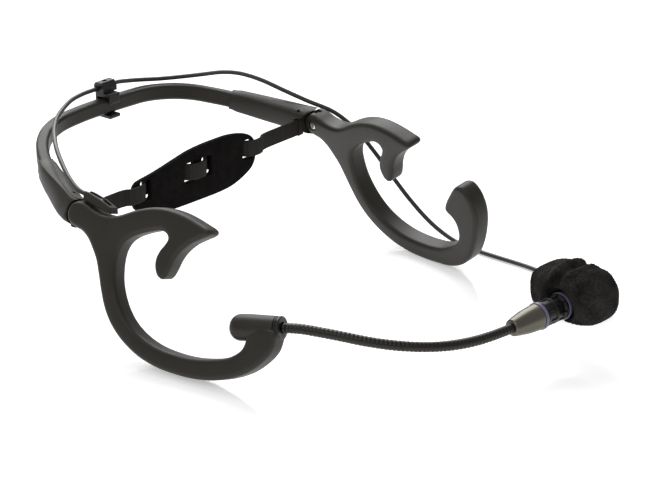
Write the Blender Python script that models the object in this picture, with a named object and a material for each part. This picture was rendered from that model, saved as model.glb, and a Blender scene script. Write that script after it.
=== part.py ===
"""Behind-the-head headset microphone, built as separate named pieces.

Metres, +Z up, the wearer looks along -Y and their right ear is at -X.
"""
import math

import bmesh
import bpy
from mathutils import Matrix, Vector

# Driving dimensions, in millimetres unless the name says otherwise.
MM = 0.001
GAP = 0.3                       # clearance between touching pieces
STAND_LIFT = 1.5                # raises the set so both ear hooks stand on z = 0
SHIFT_X = -1.2                  # puts the origin under the middle of the headset
SHIFT_Y = -1.1

TEMPLE_THICK = 9.1
TEMPLE_EDGE = 1.7               # rounding of the ear hook's edges
PIVOT_U = -60.0                 # pivot centre in ear-hook coordinates
PIVOT_V = 50.0
KNUCKLE_R = 5.5
TONGUE_THICK = 2.8
SLOT_THICK = 3.4
SCREW_HEAD_R = 1.95
SCREW_SHANK_R = 1.0

BAND_WIDE = 5.5
BAND_TALL = 7.0
SPRING_WIDE = 0.8
SPRING_TALL = 4.0
SLEEVE_START = 6.5              # behind the pivot, along the band
SLEEVE_END = 43.0

STRAP_THICK = 1.2
LOOP_THICK = 2.6                # doubled end of the strap round its pin
STRAP_TALL = 7.4
STRAP_Y = 70.0
PAD_THICK = 2.4

CABLE_R = 1.0
SOCKET_R = 5.3
SOCKET_TIP_R = 4.6
SOCKET_LENGTH = 22.5
GOOSENECK_R = 2.1
MIC_R = 5.6
FERRULE_LENGTH = 14.4
VENT_LENGTH = 11.6
RING_LENGTH = 1.6

# Ear-hook planes: where the inner face starts, how far the foot leans out,
# how far the front turns in, how far the front tips up.
RIGHT_ORIGIN = (-76.7, 0.0, 1.2)
RIGHT_ANGLES = (18.8, 5.9, 0.0)
LEFT_ORIGIN = (77.1, 0.8, 1.3)
LEFT_ANGLES = (12.8, 9.1, 1.8)

# Ear-hook outline in its own plane: u forward, v up.
BACK_EDGE = [
    (-60.0, 44.5), (-56.5, 43.6), (-53.0, 41.2), (-50.0, 37.6), (-47.2, 33.5),
    (-45.0, 28.5), (-42.6, 22.5), (-39.5, 16.0), (-35.5, 10.5), (-30.5, 6.0),
    (-24.5, 2.3), (-17.5, -0.6), (-9.0, -2.5), (0.0, -3.1), (9.0, -2.9),
]
RIGHT_END = [
    (18.0, -1.5), (26.5, 1.2), (34.0, 5.2), (39.8, 10.3), (43.3, 15.2),
    (44.3, 19.5), (44.0, 24.0), (37.5, 24.5), (31.0, 23.5), (31.0, 18.5),
    (30.0, 14.2), (27.0, 11.0), (22.5, 8.6),
]
LEFT_END = [
    (17.0, -2.2), (24.5, 0.4), (30.9, 5.2), (35.0, 10.8), (38.4, 17.7),
    (40.8, 25.0), (41.5, 31.0), (40.4, 36.6), (38.2, 40.2), (35.4, 42.2),
    (32.4, 42.0), (29.6, 40.2), (26.4, 36.4), (23.4, 32.4), (21.7, 28.9),
    (22.6, 26.8), (25.4, 24.9), (27.0, 22.6), (27.6, 19.3), (27.0, 15.6),
    (24.8, 12.2), (20.5, 9.2),
]
INNER_EDGE = [
    (13.5, 6.2), (5.0, 5.0), (-4.0, 5.0), (-12.0, 6.0), (-19.5, 8.4),
    (-25.5, 11.8), (-30.0, 16.0), (-33.6, 21.3), (-36.0, 27.0), (-37.0, 33.0),
    (-36.8, 38.5), (-35.0, 42.8), (-31.5, 46.0), (-27.0, 48.4), (-22.4, 50.2),
    (-18.2, 51.4), (-15.2, 51.0), (-13.7, 49.2), (-14.6, 46.8), (-16.6, 43.8),
    (-17.9, 40.3), (-17.7, 36.8), (-16.2, 33.8), (-13.8, 32.5), (-11.9, 33.8),
    (-10.4, 37.0), (-9.0, 41.0), (-6.6, 45.0), (-2.8, 48.8), (1.5, 51.6),
    (4.8, 53.6), (5.9, 55.2), (4.4, 56.6), (0.5, 57.8), (-4.5, 59.2),
    (-10.0, 60.3), (-16.0, 60.7), (-22.0, 60.2), (-28.0, 58.6), (-33.5, 56.4),
    (-38.5, 54.0), (-43.0, 52.6), (-47.5, 52.4), (-52.0, 53.2), (-56.5, 54.8),
    (-60.0, 55.5), (-63.9, 53.9), (-65.5, 50.0), (-63.9, 46.1),
]

# Centreline of the neckband from the right pivot round the nape to the left one.
BAND_ROUTE = [
    (-71.0, 60.8, 50.2), (-70.2, 67.5, 50.5), (-66.8, 75.5, 52.0),
    (-63.3, 82.4, 53.4), (-59.7, 90.2, 55.1), (-55.4, 98.0, 56.9),
    (-50.1, 105.6, 58.8), (-43.4, 112.8, 60.6), (-34.6, 119.0, 62.2),
    (-23.0, 123.3, 63.2), (-9.0, 124.8, 63.6), (5.0, 125.2, 63.5),
    (19.0, 125.0, 63.3), (32.0, 124.2, 62.9), (43.4, 120.7, 61.8),
    (52.4, 114.9, 60.3), (59.6, 107.6, 58.1), (64.9, 100.0, 56.2),
    (69.3, 92.3, 54.3), (73.1, 84.2, 52.5), (76.4, 76.4, 51.0),
    (79.4, 69.0, 49.6), (80.7, 62.7, 49.1),
]
GOOSENECK_ROUTE = [
    (-67.1, -42.9, 26.2), (-64.8, -50.6, 27.0), (-62.0, -58.2, 26.7),
    (-58.8, -65.6, 26.0), (-54.9, -72.6, 24.8), (-50.3, -79.2, 23.6),
    (-45.0, -85.2, 22.5), (-39.1, -90.6, 21.6), (-32.5, -95.2, 20.9),
    (-25.4, -99.1, 20.6), (-17.9, -102.1, 20.6), (-10.1, -104.2, 20.8),
    (-2.1, -105.5, 20.9),
]
SOCKET_MIDDLE = (-70.1, -32.5, 24.5)
SOCKET_AXIS = (0.273, -0.947, 0.149)
MIC_AXIS = (0.993, -0.114, 0.029)
REAR_BEND = 0.30                # place of the bends along the gooseneck
FRONT_BEND = 0.68

LEAD_ROUTE = [
    (-68.2, 52.1, 56.4), (-68.4, 57.0, 57.3), (-68.6, 61.3, 58.0),
    (-68.2, 66.6, 59.0), (-65.2, 74.5, 61.2), (-59.8, 84.0, 63.8),
    (-53.8, 93.0, 66.0), (-48.0, 100.2, 67.6), (-41.0, 107.6, 68.8),
    (-32.0, 115.4, 69.6), (-22.6, 121.4, 70.1), (-13.6, 125.4, 71.0),
    (-5.4, 127.0, 71.4), (0.6, 127.2, 71.5), (5.0, 127.25, 71.5), (9.0, 127.3, 71.5),
]
FREE_ROUTE = [
    (9.4, 127.3, 71.5), (13.5, 127.35, 71.5), (17.5, 127.4, 71.4),
    (23.6, 127.4, 70.4), (31.6, 127.2, 68.9),
    (41.9, 124.8, 67.3), (52.3, 119.6, 66.8), (58.6, 113.4, 67.5),
    (64.1, 106.8, 68.4), (69.1, 100.0, 67.9), (73.7, 91.4, 65.4),
    (78.4, 81.6, 61.1), (83.5, 72.0, 56.7), (89.3, 61.0, 52.0),
    (93.3, 51.4, 44.5), (96.0, 42.4, 34.6), (97.8, 33.4, 24.2),
    (99.0, 23.6, 14.4), (99.7, 12.4, 6.0), (99.6, 0.0, 1.0),
    (98.8, -13.0, -0.3), (97.8, -26.0, -0.3), (97.2, -40.0, -0.3),
    (95.8, -50.0, -0.3), (92.6, -58.4, -0.3), (87.6, -64.8, -0.3),
    (82.4, -68.0, -0.2), (79.2, -68.7, 0.0),
]
COIL_MIDDLE = (76.0, -83.0)
COIL_OUTER = 13.1
COIL_INNER = 6.9
COIL_HIGH = 5.6
COIL_FLOOR = 0.95 - STAND_LIFT
PLUG_RADIUS = 4.4
PLUG_AXIS = (0.175, -0.985, 0.0)
PLUG_BACK = 9.0                 # plug start behind the coil's middle, along its axis
BOOT_LENGTH = 7.0
# Cable from the plug's boot down to the coil: (degrees, mm, mm) round the coil's middle.
TAIL_SPIRAL = [
    (100.1, 16.3, 9.75), (100.1, 18.2, 9.6), (97.5, 20.2, 8.7), (92.0, 21.0, 6.7),
    (82.0, 19.8, 4.8), (70.0, 17.7, 4.2), (58.0, 15.9, 4.1), (45.0, 14.7, 4.1),
]


# Small helpers.

def wipe_scene():
    """Remove every object so the script starts from nothing."""
    for thing in list(bpy.data.objects):
        bpy.data.objects.remove(thing, do_unlink=True)


def vec(point):
    """A point in millimetres as a vector in metres, raised onto the floor and centred."""
    return Vector((point[0] + SHIFT_X, point[1] + SHIFT_Y, point[2] + STAND_LIFT)) * MM


def finish(name, color, metallic, roughness):
    """One Principled material."""
    made = bpy.data.materials.get(name)
    if made:
        return made
    made = bpy.data.materials.new(name)
    made.use_nodes = True
    shader = made.node_tree.nodes["Principled BSDF"]
    shader.inputs["Base Color"].default_value = (*color, 1.0)
    shader.inputs["Metallic"].default_value = metallic
    shader.inputs["Roughness"].default_value = roughness
    return made


def soft_black():
    """Moulded headset plastic."""
    return finish("soft_black_plastic", (0.035, 0.033, 0.030), 0.0, 0.55)


def deep_black():
    """Blacker moulded trim."""
    return finish("deep_black_plastic", (0.015, 0.015, 0.015), 0.0, 0.5)


def webbing():
    """Elastic strap."""
    return finish("elastic_webbing", (0.03, 0.029, 0.028), 0.0, 0.9)


def felt():
    """Strap pad facing."""
    return finish("pad_neoprene", (0.01, 0.01, 0.01), 0.0, 0.95)


def foam():
    """Windscreen foam."""
    return finish("windscreen_foam", (0.012, 0.012, 0.012), 0.0, 1.0)


def cable_skin():
    """Cable jacket."""
    return finish("cable_jacket", (0.03, 0.03, 0.03), 0.0, 0.6)


def lavender():
    """Tinted marker ring."""
    return finish("lavender_ring", (0.30, 0.26, 0.42), 0.0, 0.35)


def dark_metal():
    """Blackened metal of the gooseneck and shells."""
    return finish("blackened_steel", (0.05, 0.05, 0.048), 0.9, 0.4)


def bright_metal():
    """Plated steel of screws and pins."""
    return finish("plated_steel", (0.55, 0.55, 0.53), 1.0, 0.3)


def brass():
    """Threaded inserts and contacts."""
    return finish("brass", (0.75, 0.58, 0.28), 1.0, 0.3)


def publish(name, bm, material, matrix=None, smooth_angle=35.0):
    """Turn a bmesh into a named object with outward faces."""
    bmesh.ops.remove_doubles(bm, verts=bm.verts, dist=1e-7)
    bmesh.ops.recalc_face_normals(bm, faces=bm.faces)
    mesh = bpy.data.meshes.new(name)
    bm.to_mesh(mesh)
    bm.free()
    thing = bpy.data.objects.new(name, mesh)
    bpy.context.scene.collection.objects.link(thing)
    if matrix is not None:
        thing.matrix_world = matrix
    if material is not None:
        mesh.materials.append(material)
    mesh.shade_smooth()
    mesh.set_sharp_from_angle(angle=math.radians(smooth_angle))
    return thing


def settle(thing):
    """Apply an object's modifiers to its mesh."""
    graph = bpy.context.evaluated_depsgraph_get()
    solid = bpy.data.meshes.new_from_object(thing.evaluated_get(graph))
    old = thing.data
    thing.modifiers.clear()
    thing.data = solid
    bpy.data.meshes.remove(old)


def combine(thing, tool, operation):
    """Boolean one object with another and drop the tool."""
    step = thing.modifiers.new(operation.lower(), "BOOLEAN")
    step.operation = operation
    step.solver = "EXACT"
    step.object = tool
    tool.hide_render = True
    tool.display_type = "WIRE"
    settle(thing)
    bpy.data.objects.remove(tool, do_unlink=True)
    thing.data.shade_smooth()
    thing.data.set_sharp_from_angle(angle=math.radians(35.0))


def cut(thing, tool):
    """Subtract a tool."""
    combine(thing, tool, "DIFFERENCE")


def fuse(thing, tool):
    """Add a tool."""
    combine(thing, tool, "UNION")


def round_edges(thing, amount, segments, angle=50.0):
    """Bevel the sharp edges."""
    step = thing.modifiers.new("rounding", "BEVEL")
    step.width = amount * MM
    step.segments = segments
    step.limit_method = "ANGLE"
    step.angle_limit = math.radians(angle)
    settle(thing)
    thing.data.shade_smooth()
    thing.data.set_sharp_from_angle(angle=math.radians(35.0))


def spline(points, steps, closed=False):
    """Catmull-Rom points through a list of tuples."""
    count = len(points)
    spans = count if closed else count - 1
    out = []
    for i in range(spans):
        picks = []
        for k in (-1, 0, 1, 2):
            j = i + k
            j = j % count if closed else min(max(j, 0), count - 1)
            picks.append(Vector(points[j]))
        a, b, c, d = picks
        for k in range(steps):
            t = k / steps
            out.append(0.5 * ((2 * b) + (c - a) * t + (2 * a - 5 * b + 4 * c - d) * t * t
                              + (3 * b - a - 3 * c + d) * t * t * t))
    if not closed:
        out.append(Vector(points[-1]))
    return out


class Route:
    """A smooth line that can be read by distance along it."""

    def __init__(self, points, steps=8):
        self.points = spline(points, steps)
        self.marks = [0.0]
        for a, b in zip(self.points, self.points[1:]):
            self.marks.append(self.marks[-1] + (b - a).length)
        self.length = self.marks[-1]

    def at(self, distance):
        """Point at a distance, in millimetres."""
        distance = min(max(distance, 0.0), self.length)
        for i in range(len(self.marks) - 1):
            if self.marks[i + 1] >= distance:
                span = self.marks[i + 1] - self.marks[i]
                return self.points[i].lerp(self.points[i + 1], (distance - self.marks[i]) / span)
        return self.points[-1].copy()

    def heading(self, distance):
        """Unit direction at a distance."""
        ahead = self.at(distance + 1.0)
        behind = self.at(distance - 1.0)
        return (ahead - behind).normalized()


def rounded_box(wide, tall, radius, corner=2):
    """Points of a rounded rectangle, counter-clockwise."""
    out = []
    for cx, cy, start in ((1, 1, 0), (-1, 1, 90), (-1, -1, 180), (1, -1, 270)):
        for k in range(corner + 1):
            angle = math.radians(start + 90.0 * k / corner)
            x = cx * (wide / 2 - radius) + radius * math.cos(angle)
            y = cy * (tall / 2 - radius) + radius * math.sin(angle)
            out.append((x, y))
    return out


def loft(name, rings, material):
    """A closed body through rings of the same point count."""
    bm = bmesh.new()
    rows = [[bm.verts.new(p) for p in ring] for ring in rings]
    count = len(rows[0])
    for a, b in zip(rows, rows[1:]):
        for i in range(count):
            j = (i + 1) % count
            bm.faces.new((a[i], a[j], b[j], b[i]))
    bm.faces.new(list(reversed(rows[0])))
    bm.faces.new(rows[-1])
    return publish(name, bm, material)


def prism(name, outline, low, high, matrix, material):
    """Extrude a flat outline between two heights of a local frame."""
    bm = bmesh.new()
    bottom = [bm.verts.new((p[0] * MM, p[1] * MM, low * MM)) for p in outline]
    top = [bm.verts.new((p[0] * MM, p[1] * MM, high * MM)) for p in outline]
    count = len(outline)
    for i in range(count):
        j = (i + 1) % count
        bm.faces.new((bottom[i], bottom[j], top[j], top[i]))
    bm.faces.new(list(reversed(bottom)))
    bm.faces.new(top)
    return publish(name, bm, material, matrix)


def circle(x, y, radius, sides=32):
    """Outline of a circle."""
    turn = 2 * math.pi / sides
    angles = [turn * k for k in range(sides)]
    return [(x + radius * math.cos(a), y + radius * math.sin(a)) for a in angles]


def box_outline(x0, x1, y0, y1):
    """Outline of a rectangle."""
    return [(x0, y0), (x1, y0), (x1, y1), (x0, y1)]


def aim(base, axis):
    """Matrix whose local Z runs along an axis from a base in metres."""
    turn = Vector(axis).normalized().to_track_quat("Z", "Y")
    return Matrix.Translation(base) @ turn.to_matrix().to_4x4()


def turned(name, profile, matrix, material, sides=32):
    """Revolve (radius, height) points round local Z; a profile of radius 0 ends closes it."""
    bm = bmesh.new()
    rows = []
    for radius, height in profile:
        if radius <= 0.0:
            rows.append([bm.verts.new((0.0, 0.0, height * MM))])
            continue
        rows.append([bm.verts.new((x * MM, y * MM, height * MM)) for x, y in circle(0, 0, radius, sides)])
    hollow = profile[0][0] > 0.0
    pairs = list(zip(rows, rows[1:]))
    if hollow:
        pairs.append((rows[-1], rows[0]))
    for a, b in pairs:
        for i in range(sides):
            j = (i + 1) % sides
            if len(a) == 1:
                bm.faces.new((a[0], b[j], b[i]))
            elif len(b) == 1:
                bm.faces.new((a[i], a[j], b[0]))
            else:
                bm.faces.new((a[i], a[j], b[j], b[i]))
    return publish(name, bm, material, matrix)


def cable(name, points, radius, material, resolution=2):
    """A round cord along points in millimetres."""
    curve = bpy.data.curves.new(name, "CURVE")
    curve.dimensions = "3D"
    curve.bevel_depth = radius * MM
    curve.bevel_resolution = resolution
    curve.use_fill_caps = True
    line = curve.splines.new("POLY")
    line.points.add(len(points) - 1)
    for spot, point in zip(line.points, points):
        spot.co = (*vec(point), 1.0)
    thing = bpy.data.objects.new(name, curve)
    bpy.context.scene.collection.objects.link(thing)
    curve.materials.append(material)
    return thing


class EarPlane:
    """Frame of one ear hook: u forward, v up, outward away from the head."""

    def __init__(self, origin, angles, side):
        lean, toe, pitch = (math.radians(a) for a in angles)
        flat = math.cos(lean)
        out = Vector((side * flat * math.cos(toe), -flat * math.sin(toe), math.sin(lean)))
        fore = Vector((-side * math.sin(toe), -math.cos(toe), 0.0))
        rise = out.cross(fore) if side < 0 else fore.cross(out)
        self.side = side
        self.fore = fore * math.cos(pitch) + rise * math.sin(pitch)
        self.rise = rise * math.cos(pitch) - fore * math.sin(pitch)
        self.out = out
        self.origin = Vector(origin)

    def place(self, u, v, w):
        """World point in millimetres, before the lift."""
        return self.origin + self.fore * u + self.rise * v + self.out * w

    def matrix(self):
        """Placement whose origin is the pivot, local Z along the plane's third axis."""
        third = self.fore.cross(self.rise)
        base = vec(self.place(PIVOT_U, PIVOT_V, 0.0))
        turn = Matrix((self.fore, self.rise, third)).transposed().to_4x4()
        return Matrix.Translation(base) @ turn

    def span(self, inner, outer):
        """Local Z limits for a range of depth measured outward."""
        flip = 1.0 if self.side < 0 else -1.0
        return sorted((inner * flip, outer * flip))


RIGHT = EarPlane(RIGHT_ORIGIN, RIGHT_ANGLES, -1.0)
LEFT = EarPlane(LEFT_ORIGIN, LEFT_ANGLES, 1.0)


# Ear hooks.

def hook_outline(end):
    """Full outline of an ear hook, relative to its pivot."""
    points = [(u - PIVOT_U, v - PIVOT_V) for u, v in BACK_EDGE + end + INNER_EDGE]
    return [(p[0], p[1]) for p in spline(points, 2, closed=True)]


def make_temple(name, plane, end):
    """Ear hook plate with its slotted knuckle, screw hole and insert pocket."""
    matrix = plane.matrix()
    body = prism(name, hook_outline(end), *plane.span(0.0, TEMPLE_THICK), matrix, soft_black())
    round_edges(body, TEMPLE_EDGE, 2, 60.0)
    middle = TEMPLE_THICK / 2
    depth = plane.span(middle - SLOT_THICK / 2, middle + SLOT_THICK / 2)
    cut(body, prism("slot_round", circle(0, 0, KNUCKLE_R - 0.2), *depth, matrix, None))
    cut(body, prism("slot_open", box_outline(-12.0, 2.0, -9.0, 9.0), *depth, matrix, None))
    cut(body, prism("screw_way", circle(0, 0, SCREW_SHANK_R + GAP), *plane.span(-1.0, 3.5), matrix, None))
    cut(body, prism("head_sink", circle(0, 0, SCREW_HEAD_R + GAP), *plane.span(-1.0, 1.3), matrix, None))
    pocket = plane.span(middle, TEMPLE_THICK - 0.8)
    cut(body, prism("insert_pocket", circle(0, 0, 1.9 + GAP), *pocket, matrix, None))
    return body


def pivot_matrix(plane):
    """Frame at the pivot with local Z pointing outward."""
    return aim(vec(plane.place(PIVOT_U, PIVOT_V, 0.0)), plane.out)


def make_pivot_screw(name, plane):
    """Cross-recess screw that the ear hook turns on."""
    head = 1.1
    shank = TEMPLE_THICK - 1.4
    profile = [
        (0.0, 0.2), (SCREW_HEAD_R - 0.4, 0.2), (SCREW_HEAD_R, 0.5), (SCREW_HEAD_R, head),
        (SCREW_SHANK_R, head), (SCREW_SHANK_R, shank - 0.3), (SCREW_SHANK_R - 0.3, shank), (0.0, shank),
    ]
    matrix = pivot_matrix(plane)
    screw = turned(name, profile, matrix, bright_metal(), 24)
    for angle in (0.0, 90.0):
        turn = matrix @ Matrix.Rotation(math.radians(angle), 4, "Z")
        cut(screw, prism("recess", box_outline(-1.0, 1.0, -0.22, 0.22), -0.5, 0.75, turn, None))
    return screw


def make_pivot_insert(name, plane):
    """Brass thread insert in the outer cheek."""
    low = TEMPLE_THICK / 2 + SLOT_THICK / 2
    high = TEMPLE_THICK - 0.8 - GAP
    bore = SCREW_SHANK_R + GAP
    profile = [(bore, low), (1.9, low), (1.9, high), (bore, high)]
    return turned(name, profile, pivot_matrix(plane), brass(), 24)


# Neckband.

def section_at(route, distance, wide, tall, radius):
    """One ring of the band at a distance from the right pivot."""
    centre = route.at(distance)
    along = route.heading(distance)
    side = Vector((0, 0, 1)).cross(along).normalized()
    reach = 46.0
    for plane, gone in ((RIGHT, distance), (LEFT, route.length - distance)):
        if gone < reach:
            ease = max(0.0, (gone - SLEEVE_START) / (reach - SLEEVE_START))
            ease = ease * ease * (3 - 2 * ease)
            side = plane.out.lerp(side, ease)
    side = (side - along * side.dot(along)).normalized()
    rise = along.cross(side)
    return [vec(centre + side * x + rise * y) for x, y in rounded_box(wide, tall, radius)]


def band_stations(start, stop, count):
    """Even distances between two ends."""
    return [start + (stop - start) * k / (count - 1) for k in range(count)]


def ribbon(name, route, start, stop, count, wide, tall, radius, material):
    """A strip of constant section along the band."""
    rings = [section_at(route, d, wide, tall, radius) for d in band_stations(start, stop, count)]
    return loft(name, rings, material)


def make_neckband(route):
    """Nape band with a slot right through for its spring."""
    stop = route.length - 15.0
    body = ribbon("neckband", route, 15.0, stop, 36, BAND_WIDE, BAND_TALL, 1.6, soft_black())
    wide = SPRING_WIDE + 2 * GAP
    tall = SPRING_TALL + 2 * GAP
    cut(body, ribbon("spring_way", route, 12.0, route.length - 12.0, 37, wide, tall, 0.3, None))
    return body


def make_band_spring(route):
    """Flat steel spring inside the band."""
    stop = route.length - 15.6
    return ribbon("band_spring", route, 15.6, stop, 36, SPRING_WIDE, SPRING_TALL, 0.2, bright_metal())


def sleeve_ring(route, plane, gone):
    """Band-end ring a distance behind its pivot."""
    share = (gone - SLEEVE_START) / (SLEEVE_END - SLEEVE_START)
    wide = 9.0 + (7.9 - 9.0) * share
    tall = 11.2 + (9.4 - 11.2) * share
    if share > 0.93:
        wide -= 0.7
        tall -= 0.7
    distance = gone if plane is RIGHT else route.length - gone
    return section_at(route, distance, wide, tall, 2.3)


def make_band_end(name, route, plane):
    """Sleeve that takes the band's end, with the pivot tongue and the strap slot."""
    reaches = [2.0, 6.0, 10.0, 15.0, 20.0, 25.0, 30.0, 35.0, 39.0, 41.5, SLEEVE_END]
    body = loft(name, [sleeve_ring(route, plane, g) for g in reaches], soft_black())
    matrix = plane.matrix()
    cut(body, prism("knuckle_way", circle(0, 0, KNUCKLE_R + 0.6, 40), *plane.span(-6.0, 16.0), matrix, None))
    middle = TEMPLE_THICK / 2
    depth = plane.span(middle - TONGUE_THICK / 2, middle + TONGUE_THICK / 2)
    tongue = [(-9.5, -3.2), (0.0, -4.6)]
    for angle in range(15, 180, 15):
        turn = math.radians(angle)
        tongue.append((4.6 * math.sin(turn), -4.6 * math.cos(turn)))
    tongue += [(0.0, 4.6), (-9.5, 3.2)]
    fuse(body, prism("tongue", tongue, *depth, matrix, None))
    cut(body, prism("eye", circle(0, 0, SCREW_SHANK_R + GAP), *plane.span(-1.0, 10.0), matrix, None))
    if plane is RIGHT:
        start, stop = 14.4, SLEEVE_END + 3.0
    else:
        start, stop = route.length - SLEEVE_END - 3.0, route.length - 14.4
    way = ribbon("band_way", route, start, stop, 14, BAND_WIDE + 2 * GAP, BAND_TALL + 2 * GAP, 1.6, None)
    cut(body, way)
    cut(body, strap_slot(plane))
    cut(body, strap_pin_tool(plane))
    return body


# Strap and pad.

STRAP_HEIGHT_RIGHT = 45.1
STRAP_HEIGHT_LEFT = 46.8
STRAP_X_RIGHT = -68.6
STRAP_X_LEFT = 76.6


def strap_height(x):
    """Height of the strap's middle at x."""
    share = (x - STRAP_X_RIGHT) / (STRAP_X_LEFT - STRAP_X_RIGHT)
    return STRAP_HEIGHT_RIGHT + (STRAP_HEIGHT_LEFT - STRAP_HEIGHT_RIGHT) * share


def strap_slot(plane):
    """Cutter for the strap's way into a band end."""
    x = STRAP_X_RIGHT if plane.side < 0 else STRAP_X_LEFT
    inward = -plane.side
    tall = STRAP_TALL / 2 + GAP
    loop = LOOP_THICK / 2 + GAP
    mouth = STRAP_THICK / 2 + GAP
    rings = []
    for reach, thick in ((-GAP, loop), (3.4, loop), (4.6, mouth), (12.0, mouth)):
        px = x + inward * reach
        z = strap_height(px)
        rings.append([vec((px, STRAP_Y + dy, z + dz))
                      for dy, dz in ((-thick, -tall), (thick, -tall), (thick, tall), (-thick, tall))])
    return loft("strap_way", rings, None)


def strap_pin_frame(plane):
    """Frame of the pin through the strap's end, up the band end."""
    x = (STRAP_X_RIGHT if plane.side < 0 else STRAP_X_LEFT) - plane.side * 1.6
    return aim(vec((x, STRAP_Y, strap_height(x))), (0, 0, 1))


def strap_pin_tool(plane):
    """Cutter for the pin hole."""
    profile = [(0, -5.0), (0.7, -5.0), (0.7, 12.0), (0, 12.0)]
    return turned("pin_way", profile, strap_pin_frame(plane), None, 16)


def make_strap_pin(name, plane):
    """Short steel pin that holds the strap's end."""
    profile = [(0, -4.6), (0.4, -4.6), (0.4, 4.6), (0, 4.6)]
    return turned(name, profile, strap_pin_frame(plane), bright_metal(), 16)


PAD_LEFT = -33.6
PAD_RIGHT = 44.2
PAD_SLOTS = (-26.3, 0.9, 12.0, 38.6)
WEAVE = [
    (-68.6, 0.0), (-65.6, 0.0), (-64.4, 0.0), (-41.0, 0.0), (-35.5, -2.3), (-29.1, -2.3),
    (-26.3, 0.0), (-23.5, 2.3), (-12.0, 2.5), (-1.9, 2.3), (0.9, 0.0), (3.7, -2.3),
    (9.2, -2.3), (12.0, 0.0), (14.8, 2.3), (24.0, 2.5), (35.8, 2.3), (38.6, 0.0),
    (41.4, -2.3), (46.2, -2.3), (52.0, 0.0), (72.4, 0.0), (73.6, 0.0), (76.6, 0.0),
]


def make_strap():
    """Elastic webbing woven through the pad's slots."""
    line = [Vector((x, STRAP_Y + y, strap_height(x))) for x, y in WEAVE]
    rings = []
    for i, spot in enumerate(line):
        ahead = line[min(i + 1, len(line) - 1)] - line[max(i - 1, 0)]
        side = Vector((-ahead.y, ahead.x, 0)).normalized()
        doubled = min(spot.x - STRAP_X_RIGHT, STRAP_X_LEFT - spot.x) < 3.2
        ring = []
        for y, z in rounded_box(LOOP_THICK if doubled else STRAP_THICK, STRAP_TALL, 0.35, 1):
            ring.append(vec(spot + side * y + Vector((0, 0, z))))
        rings.append(ring)
    body = loft("strap", rings, webbing())
    for plane in (RIGHT, LEFT):
        cut(body, strap_pin_tool(plane))
    return body


PAD_OUTLINE = [
    (-33.6, 44.0), (-33.2, 48.1), (-31.2, 50.1), (-28.0, 50.8), (-23.0, 51.4),
    (-16.5, 52.4), (-7.5, 54.1), (1.0, 55.6), (9.0, 56.2), (18.0, 56.3),
    (27.0, 56.0), (34.5, 54.7), (40.0, 52.8), (43.2, 49.9), (44.2, 45.7),
    (43.8, 40.7), (41.0, 36.8), (34.5, 33.7), (27.0, 31.8), (18.0, 31.3),
    (9.0, 31.4), (-1.0, 31.6), (-9.0, 31.9), (-17.0, 32.8), (-25.0, 34.6),
    (-30.8, 37.1), (-33.2, 40.1),
]


def make_strap_pad():
    """Nape pad with four slots for the strap."""
    matrix = aim(vec((0, STRAP_Y, 0)), (0, -1, 0))
    turn = matrix.to_3x3().inverted()
    local = []
    for x, z in [(p[0], p[1]) for p in spline(PAD_OUTLINE, 2, closed=True)]:
        spot = turn @ Vector((x, 0, z))
        local.append((spot.x, spot.y))
    body = prism("strap_pad", local, -PAD_THICK / 2, PAD_THICK / 2, matrix, felt())
    round_edges(body, 0.7, 2, 60.0)
    tall = STRAP_TALL / 2 + 0.6
    for x in PAD_SLOTS:
        z = strap_height(x)
        rings = []
        for y in (STRAP_Y - 4, STRAP_Y + 4):
            rings.append([vec((x + dx, y, z + dz))
                          for dx, dz in ((-3.0, -tall), (3.0, -tall), (3.0, tall), (-3.0, tall))])
        cut(body, loft("slot", rings, None))
    return body


# Cable guide and band clip.

def make_cable_guide():
    """Channel on the right ear hook that the lead leaves by."""
    matrix = RIGHT.matrix()
    depth = RIGHT.span(2.0, 7.4)
    top = [
        (0.4, 6.0), (3.0, 5.7), (8.0, 4.4), (13.0, 3.2), (16.0, 3.1),
        (15.2, 5.6), (9.0, 8.0), (3.0, 9.6), (0.4, 9.9),
    ]
    body = prism("cable_guide", top, *depth, matrix, soft_black())
    round_edges(body, 0.4, 1, 60.0)
    channel = [(-4.0, 7.0), (3.0, 6.7), (9.0, 5.3), (13.6, 4.3), (13.0, 12.0), (-4.0, 12.0)]
    cut(body, prism("channel", channel, *RIGHT.span(3.3, 6.1), matrix, None))
    return body


CLIP_LEFT = 5.5
CLIP_RIGHT = 12.0
CLIP_Y = 125.2
CLIP_Z = 63.6


def clip_block(name, x0, x1, outline, material):
    """Extrude a (y, z) outline along X, relative to the band at the clip."""
    rings = []
    for x in (x0, x1):
        rings.append([vec((x, CLIP_Y + y, CLIP_Z + z)) for y, z in outline])
    return loft(name, rings, material)


def make_band_clip():
    """C-shaped clip round the band, open toward the head at the bottom."""
    wide = BAND_WIDE / 2 + 0.5
    tall = BAND_TALL / 2 + 0.4
    back = wide + 1.2
    outline = [
        (-back, 1.2), (-back, tall + 2.0), (back, tall + 2.0), (back, -tall - 1.6),
        (-back, -tall - 1.6), (-back, -tall), (wide, -tall), (wide, tall), (-wide, tall), (-wide, 1.2),
    ]
    body = clip_block("band_clip", CLIP_LEFT, CLIP_RIGHT, outline, deep_black())
    return body


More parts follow.
